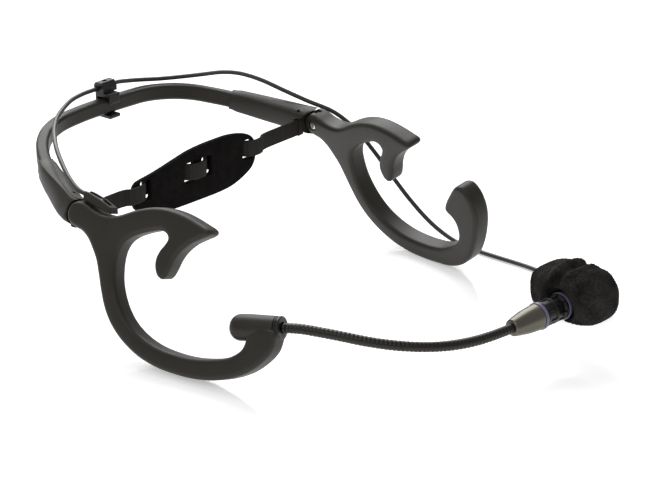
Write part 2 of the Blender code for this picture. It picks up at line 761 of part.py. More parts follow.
def make_clip_saddle():
    """Cable tunnel on top of the clip."""
    base = BAND_TALL / 2 + 0.4 + 2.0 + GAP
    outline = [
        (-1.8, base), (4.0, base), (4.0, base + 3.4), (3.0, base + 4.6),
        (-0.4, base + 4.6), (-1.8, base + 2.0),
    ]
    body = clip_block("clip_saddle", CLIP_LEFT - 1.0, CLIP_RIGHT + 1.0, outline, deep_black())
    way = aim(vec((CLIP_LEFT - 6.0, 127.2, 71.5)), (1, 0.01, 0))
    cut(body, turned("tunnel", [(0, 0), (1.35, 0), (1.35, 24), (0, 24)], way, None, 20))
    dimple = aim(vec((8.7, 127.0, CLIP_Z + base + 3.5)), (0, 0, 1))
    cut(body, turned("dimple", [(0, 0), (1.3, 0), (1.5, 3), (0, 3)], dimple, None, 20))
    return body


# Boom.

def socket_frame():
    """Frame at the rear end of the boom socket, along its axis."""
    axis = Vector(SOCKET_AXIS).normalized()
    base = Vector(SOCKET_MIDDLE) - axis * (SOCKET_LENGTH / 2)
    return aim(vec(base), axis)


def make_boom_socket():
    """Moulded barrel on the end of the right ear hook."""
    length = SOCKET_LENGTH - 2.6
    profile = [
        (0.0, 0.0), (2.0, 0.15), (3.6, 0.8), (4.8, 2.0), (SOCKET_R, 3.8), (SOCKET_R, 8.0),
        (SOCKET_TIP_R + 0.1, length), (3.6, length), (3.6, 5.0), (0.0, 5.0),
    ]
    return turned("boom_socket", profile, socket_frame(), soft_black())


def make_socket_bush():
    """Friction bush inside the barrel."""
    stop = SOCKET_LENGTH - 2.6 - 0.4
    profile = [(2.6, 5.4), (3.3, 5.4), (3.3, stop), (2.6, stop)]
    return turned("socket_bush", profile, socket_frame(), deep_black(), 28)


def make_socket_collar():
    """Grooved end ring of the barrel."""
    start = SOCKET_LENGTH - 2.6 + GAP
    stop = SOCKET_LENGTH
    profile = [
        (2.5, start), (SOCKET_TIP_R, start), (SOCKET_TIP_R, start + 0.5), (SOCKET_TIP_R - 0.35, start + 0.7),
        (SOCKET_TIP_R, start + 0.9), (SOCKET_TIP_R + 0.1, stop - 0.4),
        (SOCKET_TIP_R - 0.3, stop), (2.5, stop),
    ]
    return turned("socket_collar", profile, socket_frame(), deep_black())


def make_boom_anchor():
    """Steel plug on the gooseneck's hidden end, turning in the bush."""
    profile = [(0.0, 5.8), (2.0, 5.8), (2.3, 6.2), (2.3, 18.6), (1.9, 18.9), (0.0, 18.9)]
    return turned("boom_anchor", profile, socket_frame(), bright_metal(), 24)


def tube(name, route, start, stop, radius, material, sides=16, dome=False):
    """A round bar along part of a route; a dome closes its first end."""
    count = max(4, int((stop - start) / 3.2))
    rings = []
    if dome:
        for k in (0.12, 0.45, 0.75):
            spot = route.at(start - radius * math.cos(math.asin(k)))
            rings.append(tube_ring(route, start, spot, radius * k, sides))
    for d in band_stations(start, stop, count):
        rings.append(tube_ring(route, d, route.at(d), radius, sides))
    return loft(name, rings, material)


def tube_ring(route, distance, centre, radius, sides):
    """One ring of a tube square to the route."""
    along = route.heading(distance)
    side = along.cross(Vector((0, 0, 1))).normalized()
    rise = side.cross(along)
    ring = []
    for x, y in circle(0, 0, radius, sides):
        ring.append(vec(centre + side * x + rise * y))
    return ring


def make_gooseneck(route):
    """Three stiff lengths that meet at the two bends."""
    first = route.length * REAR_BEND
    second = route.length * FRONT_BEND
    lead_in = GOOSENECK_R + GAP
    rear = tube("gooseneck_rear", route, 0.6, first - lead_in, GOOSENECK_R, dark_metal())
    middle = tube("gooseneck_middle", route, first, second - lead_in, GOOSENECK_R, dark_metal(), dome=True)
    front = tube("gooseneck_front", route, second, route.length - 0.6, GOOSENECK_R, dark_metal(), dome=True)
    for piece, distance in ((middle, first), (front, second)):
        move_origin(piece, vec(route.at(distance)))
    return rear, middle, front


def move_origin(thing, spot):
    """Put an object's origin at a world point without moving its shape."""
    shift = thing.matrix_world.inverted() @ spot
    thing.data.transform(Matrix.Translation(-shift))
    thing.matrix_world = thing.matrix_world @ Matrix.Translation(shift)


# Microphone head.

def mic_frame(distance):
    """Frame on the microphone axis, a distance from the gooseneck's end."""
    axis = Vector(MIC_AXIS).normalized()
    return aim(vec(Vector(GOOSENECK_ROUTE[-1]) + axis * distance), axis)


def make_mic_ferrule():
    """Tapered metal shell behind the microphone."""
    length = FERRULE_LENGTH
    profile = [
        (0.0, -0.2), (2.9, -0.2), (3.5, 0.3), (4.1, 3.0), (4.9, 7.5), (MIC_R - 0.15, length),
        (4.6, length), (4.0, 8.0), (2.4, 3.0), (0.0, 3.0),
    ]
    return turned("mic_ferrule", profile, mic_frame(0.0), dark_metal(), 36)


def make_marker_ring(name, start):
    """Tinted ring round the microphone body."""
    stop = start + RING_LENGTH
    outer = MIC_R + 0.15
    profile = [
        (4.6, start), (outer - 0.25, start), (outer, start + 0.3),
        (outer, stop - 0.3), (outer - 0.25, stop), (4.6, stop),
    ]
    return turned(name, profile, mic_frame(0.0), lavender(), 36)


def make_vented_sleeve(start):
    """Dark sleeve with two rows of vents."""
    stop = start + VENT_LENGTH
    profile = [(4.6, start), (MIC_R - 0.3, start), (MIC_R - 0.3, stop), (4.6, stop)]
    body = turned("vented_sleeve", profile, mic_frame(0.0), deep_black(), 40)
    for row in range(2):
        low = start + 1.2 + row * 5.0
        for k in range(8):
            frame = mic_frame(0.0) @ Matrix.Rotation(math.radians(45.0 * k + 22.5 * row), 4, "Z")
            slit = prism("vent", box_outline(3.6, 7.0, -1.1, 1.1), low, low + 4.0, frame, None)
            cut(body, slit)
    return body


def make_capsule(start):
    """Electret cartridge at the front of the sleeve."""
    stop = start + 9.3
    profile = [
        (0.0, start), (3.9, start), (4.2, start + 0.3), (4.2, stop - 0.3), (3.9, stop), (0.0, stop),
    ]
    return turned("mic_capsule", profile, mic_frame(0.0), bright_metal(), 32)


def make_grille(start):
    """Front cap over the cartridge."""
    stop = start + 9.6
    outer = MIC_R - 0.3
    profile = [
        (0.0, stop - 1.0), (4.0, stop - 1.0), (4.6, stop - 1.8), (4.6, start),
        (outer, start), (outer, stop - 1.6), (outer - 1.6, stop), (0.0, stop),
    ]
    body = turned("mic_grille", profile, mic_frame(0.0), dark_metal(), 30)
    for k in range(5):
        frame = mic_frame(0.0) @ Matrix.Rotation(math.radians(72.0 * k + 5.0), 4, "Z")
        cut(body, prism("port", circle(2.3, 0.1, 0.7, 8), stop - 1.6, stop + 1.0, frame, None))
    return body


def make_windscreen(start):
    """Foam pillow that pulls over the microphone, open at its mouth."""
    axis = Vector(MIC_AXIS).normalized()
    fore = Vector((0, -1, 0))
    fore = (fore - axis * fore.dot(axis)).normalized()
    rise = fore.cross(axis)
    centre = Vector(GOOSENECK_ROUTE[-1]) + axis * (start + 8.0) - fore * 1.0 + rise * 2.8
    rings = []
    for k in range(1, 16):
        angle = math.pi * k / 16
        along = -math.copysign(abs(math.cos(angle)) ** 0.75, math.cos(angle))
        wide = math.sin(angle) ** 0.62
        waist = 1.0 - 0.07 * math.exp(-(along / 0.16) ** 2)
        ring = []
        for x, y in circle(0, 0, 1.0, 24):
            squash = 1.0 / (abs(x) ** 3.0 + abs(y) ** 3.0) ** (1 / 3.0)
            ring.append(vec(centre + fore * (18.5 * along) + axis * (12.2 * x * wide * waist * squash)
                            + rise * (11.0 * y * wide * waist * squash)))
        rings.append(ring)
    body = loft("windscreen", rings, foam())
    move_origin(body, vec(Vector(GOOSENECK_ROUTE[-1]) + axis * start))
    stop = start + 10.4
    bore = MIC_R + 0.1 + GAP
    way = [(0, start - 20.0), (bore, start - 20.0), (bore, stop), (bore - 2.0, stop + 1.2), (0, stop + 1.2)]
    cut(body, turned("bore", way, mic_frame(0.0), None, 36))
    return body


# Loose cable, its coil and plug.

def thin_out(points, spacing):
    """Points of a route at an even spacing."""
    route = Route(points, 6)
    count = max(2, int(round(route.length / spacing)))
    return [tuple(route.at(route.length * k / count)) for k in range(count + 1)]


def make_cables():
    """Lead held between guide and clip, the loose cable to its coil, and the plug's tail."""
    cable("cable_lead", thin_out(LEAD_ROUTE, 5.0), CABLE_R, cable_skin())
    cable("cable_free", thin_out(FREE_ROUTE, 5.0), CABLE_R, cable_skin())
    tail = []
    for angle, reach, height in TAIL_SPIRAL:
        turn = math.radians(angle)
        x = COIL_MIDDLE[0] + reach * math.cos(turn)
        y = COIL_MIDDLE[1] + reach * math.sin(turn)
        tail.append((x, y, height))
    cable("cable_tail", thin_out(tail, 3.0), CABLE_R, cable_skin())


def make_coil():
    """The put-away length as one flat ring on the floor."""
    base = aim(vec((*COIL_MIDDLE, COIL_FLOOR)), (0, 0, 1))
    half = COIL_HIGH
    profile = [
        (COIL_INNER, 0.9), (COIL_INNER + 0.9, 0.0), (COIL_OUTER - 0.9, 0.0), (COIL_OUTER, 0.9),
        (COIL_OUTER, half - 0.9), (COIL_OUTER - 0.9, half),
        (COIL_INNER + 0.9, half), (COIL_INNER, half - 0.9),
    ]
    return turned("cable_coil", profile, base, cable_skin(), 36)


def make_tie():
    """Hook-and-loop tie round one side of the coil."""
    x = COIL_MIDDLE[0] - (COIL_OUTER + COIL_INNER) / 2
    centre_z = COIL_FLOOR + COIL_HIGH / 2
    wide = (COIL_OUTER - COIL_INNER) + 4 * GAP
    tall = COIL_HIGH + 2 * GAP
    bm_rings = []
    outer = rounded_box(wide + 1.4, tall + 1.0, 1.2)
    for y in (-2.6, 2.6):
        bm_rings.append([vec((x + px, COIL_MIDDLE[1] + y, centre_z + 0.5 + pz)) for px, pz in outer])
    body = loft("cable_tie", bm_rings, webbing())
    inner = rounded_box(wide, tall, 0.8)
    way = []
    for y in (-4.0, 4.0):
        way.append([vec((x + px, COIL_MIDDLE[1] + y, centre_z + pz)) for px, pz in inner])
    cut(body, loft("tie_way", way, None))
    return body


def plug_frame():
    """Frame at the cable end of the plug, which lies across the coil."""
    axis = Vector(PLUG_AXIS).normalized()
    height = COIL_FLOOR + COIL_HIGH + GAP + PLUG_RADIUS
    start = Vector((*COIL_MIDDLE, height)) - axis * PLUG_BACK
    return aim(vec(start), axis)


def make_plug():
    """Locking mini plug: boot, shell, insulator, contacts and latch."""
    frame = plug_frame()
    boot = [(0, -BOOT_LENGTH), (1.3, -BOOT_LENGTH), (1.9, -4.0), (2.6, 0.0), (3.0, 1.0), (0, 1.0)]
    turned("plug_boot", boot, frame, deep_black(), 24)
    barrel = [
        (0, 1.3), (3.6, 1.3), (PLUG_RADIUS, 2.2), (PLUG_RADIUS, 12.0), (4.1, 12.4), (4.1, 23.0),
        (3.8, 23.3), (3.4, 23.3), (3.4, 14.0), (0, 14.0),
    ]
    shell = turned("plug_shell", barrel, frame, dark_metal(), 32)
    pocket = prism("latch_way", box_outline(-1.3, 1.3, 2.3, 6.0), 4.5, 10.5, frame, None)
    cut(shell, pocket)
    turned("plug_insert", [(0, 14.3), (3.1, 14.3), (3.1, 17.0), (0, 17.0)], frame, deep_black(), 28)
    for k in range(3):
        spin = frame @ Matrix.Rotation(math.radians(120.0 * k + 90.0), 4, "Z")
        spin = spin @ Matrix.Translation((1.7 * MM, 0, 0))
        pin = [(0, 17.3), (0.45, 17.3), (0.45, 21.6), (0.2, 22.0), (0, 22.0)]
        turned(f"plug_contact_{k + 1}", pin, spin, brass(), 12)
    latch = prism("plug_latch", box_outline(-1.0, 1.0, 3.2, 4.9), 4.8, 10.2, frame, dark_metal())
    round_edges(latch, 0.25, 1, 60.0)


def build():
    """Make every piece."""
    wipe_scene()
    band = Route(BAND_ROUTE)
    goose = Route(GOOSENECK_ROUTE)
    right = make_temple("temple_right", RIGHT, RIGHT_END)
    wide = SOCKET_R + GAP
    clear = [(0, -4.0), (wide, -4.0), (wide, 8.2), (SOCKET_TIP_R + 0.15 + GAP, 27.0), (0, 27.0)]
    cut(right, turned("socket_way", clear, socket_frame(), None, 40))
    make_temple("temple_left", LEFT, LEFT_END)
    for word, plane in (("right", RIGHT), ("left", LEFT)):
        make_pivot_screw("pivot_screw_" + word, plane)
        make_pivot_insert("pivot_insert_" + word, plane)
        make_band_end("band_end_" + word, band, plane)
        make_strap_pin("strap_pin_" + word, plane)
    make_neckband(band)
    make_band_spring(band)
    make_strap()
    make_strap_pad()
    make_cable_guide()
    make_band_clip()
    make_clip_saddle()
    make_boom_socket()
    make_socket_bush()
    make_socket_collar()
    make_boom_anchor()
    make_gooseneck(goose)
    make_mic_ferrule()
    first = FERRULE_LENGTH + GAP
    make_marker_ring("marker_ring_rear", first)
    sleeve = first + RING_LENGTH + GAP
    make_vented_sleeve(sleeve)
    second = sleeve + VENT_LENGTH + GAP
    make_marker_ring("marker_ring_front", second)
    nose = second + RING_LENGTH + GAP
    make_capsule(nose - 1.4)
    make_grille(nose)
    make_windscreen(nose)
    make_cables()
    make_coil()
    make_tie()
    make_plug()


build()
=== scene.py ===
"""Looks of a behind-the-head headset microphone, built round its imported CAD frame."""
import logging
import math
from dataclasses import dataclass
from enum import Enum
from typing import Callable, Sequence

import bmesh
import bpy
import numpy as np
from mathutils import Matrix, Vector, geometry


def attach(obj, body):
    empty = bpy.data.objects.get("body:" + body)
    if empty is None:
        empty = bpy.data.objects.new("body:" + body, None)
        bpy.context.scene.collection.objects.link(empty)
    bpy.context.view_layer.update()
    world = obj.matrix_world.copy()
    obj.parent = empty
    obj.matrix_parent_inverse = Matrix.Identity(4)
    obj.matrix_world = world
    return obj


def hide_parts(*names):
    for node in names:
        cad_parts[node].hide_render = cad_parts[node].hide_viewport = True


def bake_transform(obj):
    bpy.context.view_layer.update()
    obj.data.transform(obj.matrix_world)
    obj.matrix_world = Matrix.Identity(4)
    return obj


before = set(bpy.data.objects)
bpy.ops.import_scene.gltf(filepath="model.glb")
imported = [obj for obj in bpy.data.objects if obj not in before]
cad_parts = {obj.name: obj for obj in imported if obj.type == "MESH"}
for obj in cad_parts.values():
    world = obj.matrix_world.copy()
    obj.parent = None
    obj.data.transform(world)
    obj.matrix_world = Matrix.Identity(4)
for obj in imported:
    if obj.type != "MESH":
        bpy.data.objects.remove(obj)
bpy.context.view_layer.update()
LOG = logging.getLogger("headset")
MM = 0.001
LIFT = np.array([-1.2, -1.1, 1.5])
STRAP_Y = 70.0
COIL_MIDDLE = np.array([76.0, -83.0])
PIVOT = (-60.0, 50.0)

BACK_EDGE = [
    (-60.0, 44.5), (-56.5, 43.6), (-53.0, 41.2), (-50.0, 37.6), (-47.2, 33.5), (-45.0, 28.5),
    (-42.6, 22.5), (-39.5, 16.0), (-35.5, 10.5), (-30.5, 6.0), (-24.5, 2.3), (-17.5, -0.6),
    (-9.0, -2.5), (0.0, -3.1), (9.0, -2.9),
]
RIGHT_END = [
    (18.0, -1.5), (26.5, 1.2), (34.0, 5.2), (39.8, 10.3), (43.3, 15.2), (44.3, 19.5), (44.0, 24.0),
    (37.5, 24.5), (31.0, 23.5), (31.0, 18.5), (30.0, 14.2), (27.0, 11.0), (22.5, 8.6),
]
LEFT_END = [
    (17.0, -2.2), (24.5, 0.4), (30.9, 5.2), (35.0, 10.8), (38.4, 17.7), (40.8, 25.0), (41.5, 31.0),
    (40.4, 36.6), (38.2, 40.2), (35.4, 42.2), (32.4, 42.0), (29.6, 40.2), (26.4, 36.4), (23.4, 32.4),
    (21.7, 28.9), (22.6, 26.8), (25.4, 24.9), (27.0, 22.6), (27.6, 19.3), (27.0, 15.6), (24.8, 12.2),
    (20.5, 9.2),
]
INNER_EDGE = [
    (13.5, 6.2), (5.0, 5.0), (-4.0, 5.0), (-12.0, 6.0), (-19.5, 8.4), (-25.5, 11.8), (-30.0, 16.0),
    (-33.6, 21.3), (-36.0, 27.0), (-37.0, 33.0), (-36.8, 38.5), (-35.0, 42.8), (-31.5, 46.0),
    (-27.0, 48.4), (-22.4, 50.2), (-18.2, 51.4), (-15.2, 51.0), (-13.7, 49.2), (-14.6, 46.8),
    (-16.6, 43.8), (-17.9, 40.3), (-17.7, 36.8), (-16.2, 33.8), (-13.8, 32.5), (-11.9, 33.8),
    (-10.4, 37.0), (-9.0, 41.0), (-6.6, 45.0), (-2.8, 48.8), (1.5, 51.6), (4.8, 53.6), (5.9, 55.2),
    (4.4, 56.6), (0.5, 57.8), (-4.5, 59.2), (-10.0, 60.3), (-16.0, 60.7), (-22.0, 60.2), (-28.0, 58.6),
    (-33.5, 56.4), (-38.5, 54.0), (-43.0, 52.6), (-47.5, 52.4), (-52.0, 53.2), (-56.5, 54.8),
    (-60.0, 55.5), (-63.9, 53.9), (-65.5, 50.0), (-63.9, 46.1),
]
BAND_ROUTE = [
    (-71.0, 60.8, 50.2), (-70.2, 67.5, 50.5), (-66.8, 75.5, 52.0), (-63.3, 82.4, 53.4), (-59.7, 90.2, 55.1),
    (-55.4, 98.0, 56.9), (-50.1, 105.6, 58.8), (-43.4, 112.8, 60.6), (-34.6, 119.0, 62.2),
    (-23.0, 123.3, 63.2), (-9.0, 124.8, 63.6), (5.0, 125.2, 63.5), (19.0, 125.0, 63.3), (32.0, 124.2, 62.9),
    (43.4, 120.7, 61.8), (52.4, 114.9, 60.3), (59.6, 107.6, 58.1), (64.9, 100.0, 56.2), (69.3, 92.3, 54.3),
    (73.1, 84.2, 52.5), (76.4, 76.4, 51.0), (79.4, 69.0, 49.6), (80.7, 62.7, 49.1),
]
GOOSENECK_ROUTE = [
    (-67.1, -42.9, 26.2), (-64.8, -50.6, 27.0), (-62.0, -58.2, 26.7), (-58.8, -65.6, 26.0),
    (-54.9, -72.6, 24.8), (-50.3, -79.2, 23.6), (-45.0, -85.2, 22.5), (-39.1, -90.6, 21.6),
    (-32.5, -95.2, 20.9), (-25.4, -99.1, 20.6), (-17.9, -102.1, 20.6), (-10.1, -104.2, 20.8),
    (-2.1, -105.5, 20.9),
]
LEAD_ROUTE = [
    (-68.2, 52.1, 56.4), (-68.4, 57.0, 57.3), (-68.6, 61.3, 58.0), (-68.2, 66.6, 59.0), (-65.2, 74.5, 61.2),
    (-59.8, 84.0, 63.8), (-53.8, 93.0, 66.0), (-48.0, 100.2, 67.6), (-41.0, 107.6, 68.8),
    (-32.0, 115.4, 69.6), (-22.6, 121.4, 70.1), (-13.6, 125.4, 71.0), (-5.4, 127.0, 71.4),
    (0.6, 127.2, 71.5), (5.0, 127.25, 71.5), (9.0, 127.3, 71.5),
]
FREE_ROUTE = [
    (9.4, 127.3, 71.5), (13.5, 127.35, 71.5), (17.5, 127.4, 71.4), (23.6, 127.4, 70.4), (31.6, 127.2, 68.9),
    (41.9, 124.8, 67.3), (52.3, 119.6, 66.8), (58.6, 113.4, 67.5), (64.1, 106.8, 68.4), (69.1, 100.0, 67.9),
    (73.7, 91.4, 65.4), (78.4, 81.6, 61.1), (83.5, 72.0, 56.7), (89.3, 61.0, 52.0), (93.3, 51.4, 44.5),
    (96.0, 42.4, 34.6), (97.8, 33.4, 24.2), (99.0, 23.6, 14.4), (99.7, 12.4, 6.0), (99.6, 0.0, 1.0),
    (98.8, -13.0, -0.3), (97.8, -26.0, -0.3), (97.2, -40.0, -0.3), (95.8, -50.0, -0.3), (92.6, -58.4, -0.3),
    (87.6, -64.8, -0.3), (82.4, -68.0, -0.2), (79.2, -68.7, 0.0),
]
TAIL_SPIRAL = [
    (45.0, 14.7, 4.1), (58.0, 15.9, 4.1), (70.0, 17.7, 4.2), (82.0, 19.8, 4.8), (92.0, 21.0, 6.7),
    (97.5, 20.2, 8.7), (100.1, 18.2, 9.6), (100.1, 16.3, 9.75), (100.1, 14.9, 9.75),
]
WEAVE = [
    (-68.6, 0.0), (-65.6, 0.0), (-64.4, 0.0), (-41.0, 0.0), (-35.5, -2.3), (-29.1, -2.3), (-26.3, 0.0),
    (-23.5, 2.3), (-12.0, 2.5), (-1.9, 2.3), (0.9, 0.0), (3.7, -2.3), (9.2, -2.3), (12.0, 0.0),
    (14.8, 2.3), (24.0, 2.5), (35.8, 2.3), (38.6, 0.0), (41.4, -2.3), (46.2, -2.3), (52.0, 0.0),
    (72.4, 0.0), (73.6, 0.0), (76.6, 0.0),
]
PAD_OUTLINE = [
    (-33.6, 44.0), (-33.2, 48.1), (-31.2, 50.1), (-28.0, 50.8), (-23.0, 51.4), (-16.5, 52.4), (-7.5, 54.1),
    (1.0, 55.6), (9.0, 56.2), (18.0, 56.3), (27.0, 56.0), (34.5, 54.7), (40.0, 52.8), (43.2, 49.9),
    (44.2, 45.7), (43.8, 40.7), (41.0, 36.8), (34.5, 33.7), (27.0, 31.8), (18.0, 31.3), (9.0, 31.4),
    (-1.0, 31.6), (-9.0, 31.9), (-17.0, 32.8), (-25.0, 34.6), (-30.8, 37.1), (-33.2, 40.1),
]
PAD_SLOTS = (-26.3, 0.9, 12.0, 38.6)


class Surface(Enum):
    """Which detail field a finish carries."""

    GRAIN = "grain"
    BRUSHED = "brushed"
    RIBBED = "ribbed"
    KNIT = "knit"
    CELLS = "cells"


@dataclass(frozen=True)
class Finish:
    """One procedural surface."""

    slot: str
    dark: tuple[float, float, float]
    light: tuple[float, float, float]
    rough: tuple[float, float]
    surface: Surface
    scale: float
    depth: float
    metallic: float = 0.0
    specular: float = 0.5
    sheen: float = 0.0
    variant: str = ""


SOFT_BLACK = Finish("soft_black_plastic", (0.0135, 0.0115, 0.0082), (0.0250, 0.0215, 0.0160), (0.40, 0.54),
                    Surface.GRAIN, 1500.0, 0.00005, specular=0.34)
DEEP_BLACK = Finish("deep_black_plastic", (0.005, 0.005, 0.0045), (0.010, 0.0095, 0.009), (0.30, 0.44),
                    Surface.GRAIN, 1200.0, 0.00003, specular=0.4)
# Its dark colour is painted shade in the rib grooves, its light colour painted light on the crests.
WEBBING = Finish("elastic_webbing", (0.008, 0.0075, 0.0065), (0.075, 0.069, 0.059), (0.8, 0.95),
                 Surface.RIBBED, 1.0, 0.00018, specular=0.2)
# The pad's and the foam's dark colours fill their cell pits as painted shade.
KNIT_PAD = Finish("pad_neoprene", (0.0015, 0.0012, 0.0011), (0.008, 0.0066, 0.0062), (0.85, 0.98),
                  Surface.KNIT, 1700.0, 0.00010, specular=0.1)
FOAM = Finish("windscreen_foam", (0.002, 0.0018, 0.0017), (0.040, 0.036, 0.034), (0.9, 1.0),
              Surface.CELLS, 1300.0, 0.0006, specular=0.08)
JACKET = Finish("cable_jacket", (0.020, 0.0195, 0.018), (0.032, 0.031, 0.029), (0.30, 0.40),
                Surface.GRAIN, 900.0, 0.00003)
LAVENDER = Finish("lavender_ring", (0.11, 0.095, 0.17), (0.16, 0.14, 0.235), (0.26, 0.36),
                  Surface.GRAIN, 700.0, 0.00002)
# Three copies of one blackened steel: the gooseneck's copy is painted darker as painted shade, the ferrule
# shell's copy painted lighter as painted light.
DARK_METAL = Finish("blackened_steel", (0.060, 0.057, 0.048), (0.105, 0.100, 0.084), (0.26, 0.40),
                    Surface.BRUSHED, 500.0, 0.00002, metallic=0.9)
NECK_METAL_PAINTED_SHADE = Finish("blackened_steel", (0.018, 0.017, 0.015), (0.036, 0.034, 0.030), (0.24, 0.36),
                    Surface.BRUSHED, 500.0, 0.00002, metallic=0.7, variant="_neck")
SHELL_METAL_PAINTED_LIGHT = Finish("blackened_steel", (0.095, 0.090, 0.072), (0.150, 0.142, 0.116), (0.28, 0.40),
                     Surface.BRUSHED, 500.0, 0.00002, metallic=0.9, variant="_shell")
PLATED = Finish("plated_steel", (0.48, 0.48, 0.46), (0.60, 0.60, 0.58), (0.22, 0.34),
                Surface.BRUSHED, 500.0, 0.00001, metallic=1.0)
BRASS = Finish("brass", (0.68, 0.50, 0.22), (0.80, 0.62, 0.30), (0.22, 0.36),
               Surface.BRUSHED, 600.0, 0.00001, metallic=1.0)


# Detail fields as node groups: varying values only.

def field_group(surface: Surface) -> bpy.types.NodeTree:
    """Node group that turns a position into a varying shade, roughness share and height.

    Args:
        surface: the kind of detail.

    Returns:
        The group, made once and reused.
    """
    name = "field_" + surface.value
    found = bpy.data.node_groups.get(name)
    if found:
        return found
    group = bpy.data.node_groups.new(name, "ShaderNodeTree")
    face = group.interface
    face.new_socket("Vector", in_out="INPUT", socket_type="NodeSocketVector")
    face.new_socket("Scale", in_out="INPUT", socket_type="NodeSocketFloat")
    for word in ("Shade", "Rough", "Height"):
        face.new_socket(word, in_out="OUTPUT", socket_type="NodeSocketFloat")
    nodes, links = group.nodes, group.links
    source, drain = nodes.new("NodeGroupInput"), nodes.new("NodeGroupOutput")

    def noise(detail: float, share: float) -> bpy.types.Node:
        """Noise at a share of the group's scale."""
        made, gain = nodes.new("ShaderNodeTexNoise"), nodes.new("ShaderNodeMath")
        gain.operation = "MULTIPLY"
        gain.inputs[1].default_value = share
        links.new(source.outputs["Scale"], gain.inputs[0])
        links.new(gain.outputs[0], made.inputs["Scale"])
        links.new(source.outputs["Vector"], made.inputs["Vector"])
        made.inputs["Detail"].default_value = detail
        return made

    def maths(kind: str, a: bpy.types.NodeSocket, b: bpy.types.NodeSocket | float) -> bpy.types.NodeSocket:
        """One maths step on two values."""
        step = nodes.new("ShaderNodeMath")
        step.operation = kind
        links.new(a, step.inputs[0])
        if isinstance(b, float):
            step.inputs[1].default_value = b
        else:
            links.new(b, step.inputs[1])
        return step.outputs[0]

    if surface in (Surface.GRAIN, Surface.BRUSHED):
        fine, broad = noise(3.0, 1.0), noise(2.0, 0.05)
        height = fine.outputs[0]
        shade = maths("ADD", maths("MULTIPLY", broad.outputs[0], 0.75), maths("MULTIPLY", height, 0.25))
        rough = broad.outputs[0]
    elif surface is Surface.RIBBED:
        wave = nodes.new("ShaderNodeTexWave")
        wave.bands_direction = "X"
        links.new(source.outputs["Vector"], wave.inputs["Vector"])
        links.new(source.outputs["Scale"], wave.inputs["Scale"])
        wave.inputs["Distortion"].default_value = 0.4
        height = wave.outputs["Fac"]
        # The ribs' colour follows their height: painted shade in the grooves and painted light on the crests,
        # times a random tone from the noise.
        shade = maths("MULTIPLY", height, noise(2.0, 3.0).outputs[0])
        rough = noise(2.0, 2.0).outputs[0]
    else:
        cells = nodes.new("ShaderNodeTexVoronoi")
        cells.feature = "F1"
        links.new(source.outputs["Vector"], cells.inputs["Vector"])
        links.new(source.outputs["Scale"], cells.inputs["Scale"])
        dips = cells.outputs["Distance"]
        broad = noise(2.0, 0.12)
        height = maths("SUBTRACT", maths("MULTIPLY", noise(4.0, 0.6).outputs[0], 0.6), dips)
        # Knit and cells alike: the cell pits (dips) are painted darker as painted shade, over a broad random
        # tone.
        lit = maths("SUBTRACT", maths("ADD", broad.outputs[0], 1.0), dips)
        shade = maths("MULTIPLY", broad.outputs[0], lit)
        rough = dips
    for value, word in ((shade, "Shade"), (rough, "Rough"), (height, "Height")):
        links.new(value, drain.inputs[word])
    return group


def material(finish: Finish, flow: bool = False) -> bpy.types.Material:
    """Procedural material of a finish.

    Args:
        finish: its colours, roughness and detail.
        flow: read the piece's own Flow map instead of its object position.

    Returns:
        The material, made once and reused.
    """
    name = finish.slot + finish.variant + ("_flow" if flow else "")
    found = bpy.data.materials.get("look_" + name)
    if found:
        return found
    made = bpy.data.materials.new("look_" + name)
    made.use_nodes = True
    nodes, links = made.node_tree.nodes, made.node_tree.links
    shader = nodes["Principled BSDF"]
    if flow:
        where = nodes.new("ShaderNodeUVMap")
        where.uv_map = "Flow"
        spot = where.outputs["UV"]
    else:
        where = nodes.new("ShaderNodeTexCoord")
        spot = where.outputs["Object"]
    field = nodes.new("ShaderNodeGroup")
    field.node_tree = field_group(finish.surface)
    field.inputs["Scale"].default_value = finish.scale
    links.new(spot, field.inputs["Vector"])
    tint = nodes.new("ShaderNodeMix")
    tint.data_type = "RGBA"
    tint.inputs[6].default_value = (*finish.dark, 1.0)
    tint.inputs[7].default_value = (*finish.light, 1.0)
    links.new(field.outputs["Shade"], tint.inputs[0])
    links.new(tint.outputs[2], shader.inputs["Base Color"])
    span = nodes.new("ShaderNodeMapRange")
    span.inputs["To Min"].default_value, span.inputs["To Max"].default_value = finish.rough
    links.new(field.outputs["Rough"], span.inputs["Value"])
    links.new(span.outputs["Result"], shader.inputs["Roughness"])
    bump = nodes.new("ShaderNodeBump")
    bump.inputs["Strength"].default_value = 0.6
    bump.inputs["Distance"].default_value = finish.depth
    links.new(field.outputs["Height"], bump.inputs["Height"])
    links.new(bump.outputs["Normal"], shader.inputs["Normal"])
    shader.inputs["Metallic"].default_value = finish.metallic
    shader.inputs["Specular IOR Level"].default_value = finish.specular
    shader.inputs["Sheen Weight"].default_value = finish.sheen
    return made


# Shape helpers. Points are in millimetres until lift() takes them to the row frame.

def lift(points: Sequence | np.ndarray) -> np.ndarray:
    """Millimetre points as metres in the row frame."""
    return (np.asarray(points, float) + LIFT) * MM


def unit(v: np.ndarray) -> np.ndarray:
    """Vectors scaled to length one along their last axis."""
    return v / np.maximum(np.linalg.norm(v, axis=-1, keepdims=True), 1e-12)


def catmull(points: Sequence | np.ndarray, steps: int, closed: bool = False) -> np.ndarray:
    """Catmull-Rom points: each span is the usual cubic of its four neighbours.

    Args:
        points: control points, one row each.
        steps: points per span.
        closed: join the end to the start.

    Returns:
        The dense points.
    """
    p = np.asarray(points, float)
    count = len(p)
    i = np.arange(count if closed else count - 1)
    rows = [(i + k) % count if closed else np.clip(i + k, 0, count - 1) for k in (-1, 0, 1, 2)]
    a, b, c, d = (p[r][:, None, :] for r in rows)
    t = (np.arange(steps) / steps)[None, :, None]
    out = 0.5 * (2 * b + (c - a) * t + (2 * a - 5 * b + 4 * c - d) * t ** 2
                 + (3 * b - a - 3 * c + d) * t ** 3)
    out = out.reshape(-1, p.shape[1])
    return out if closed else np.vstack([out, p[-1:]])


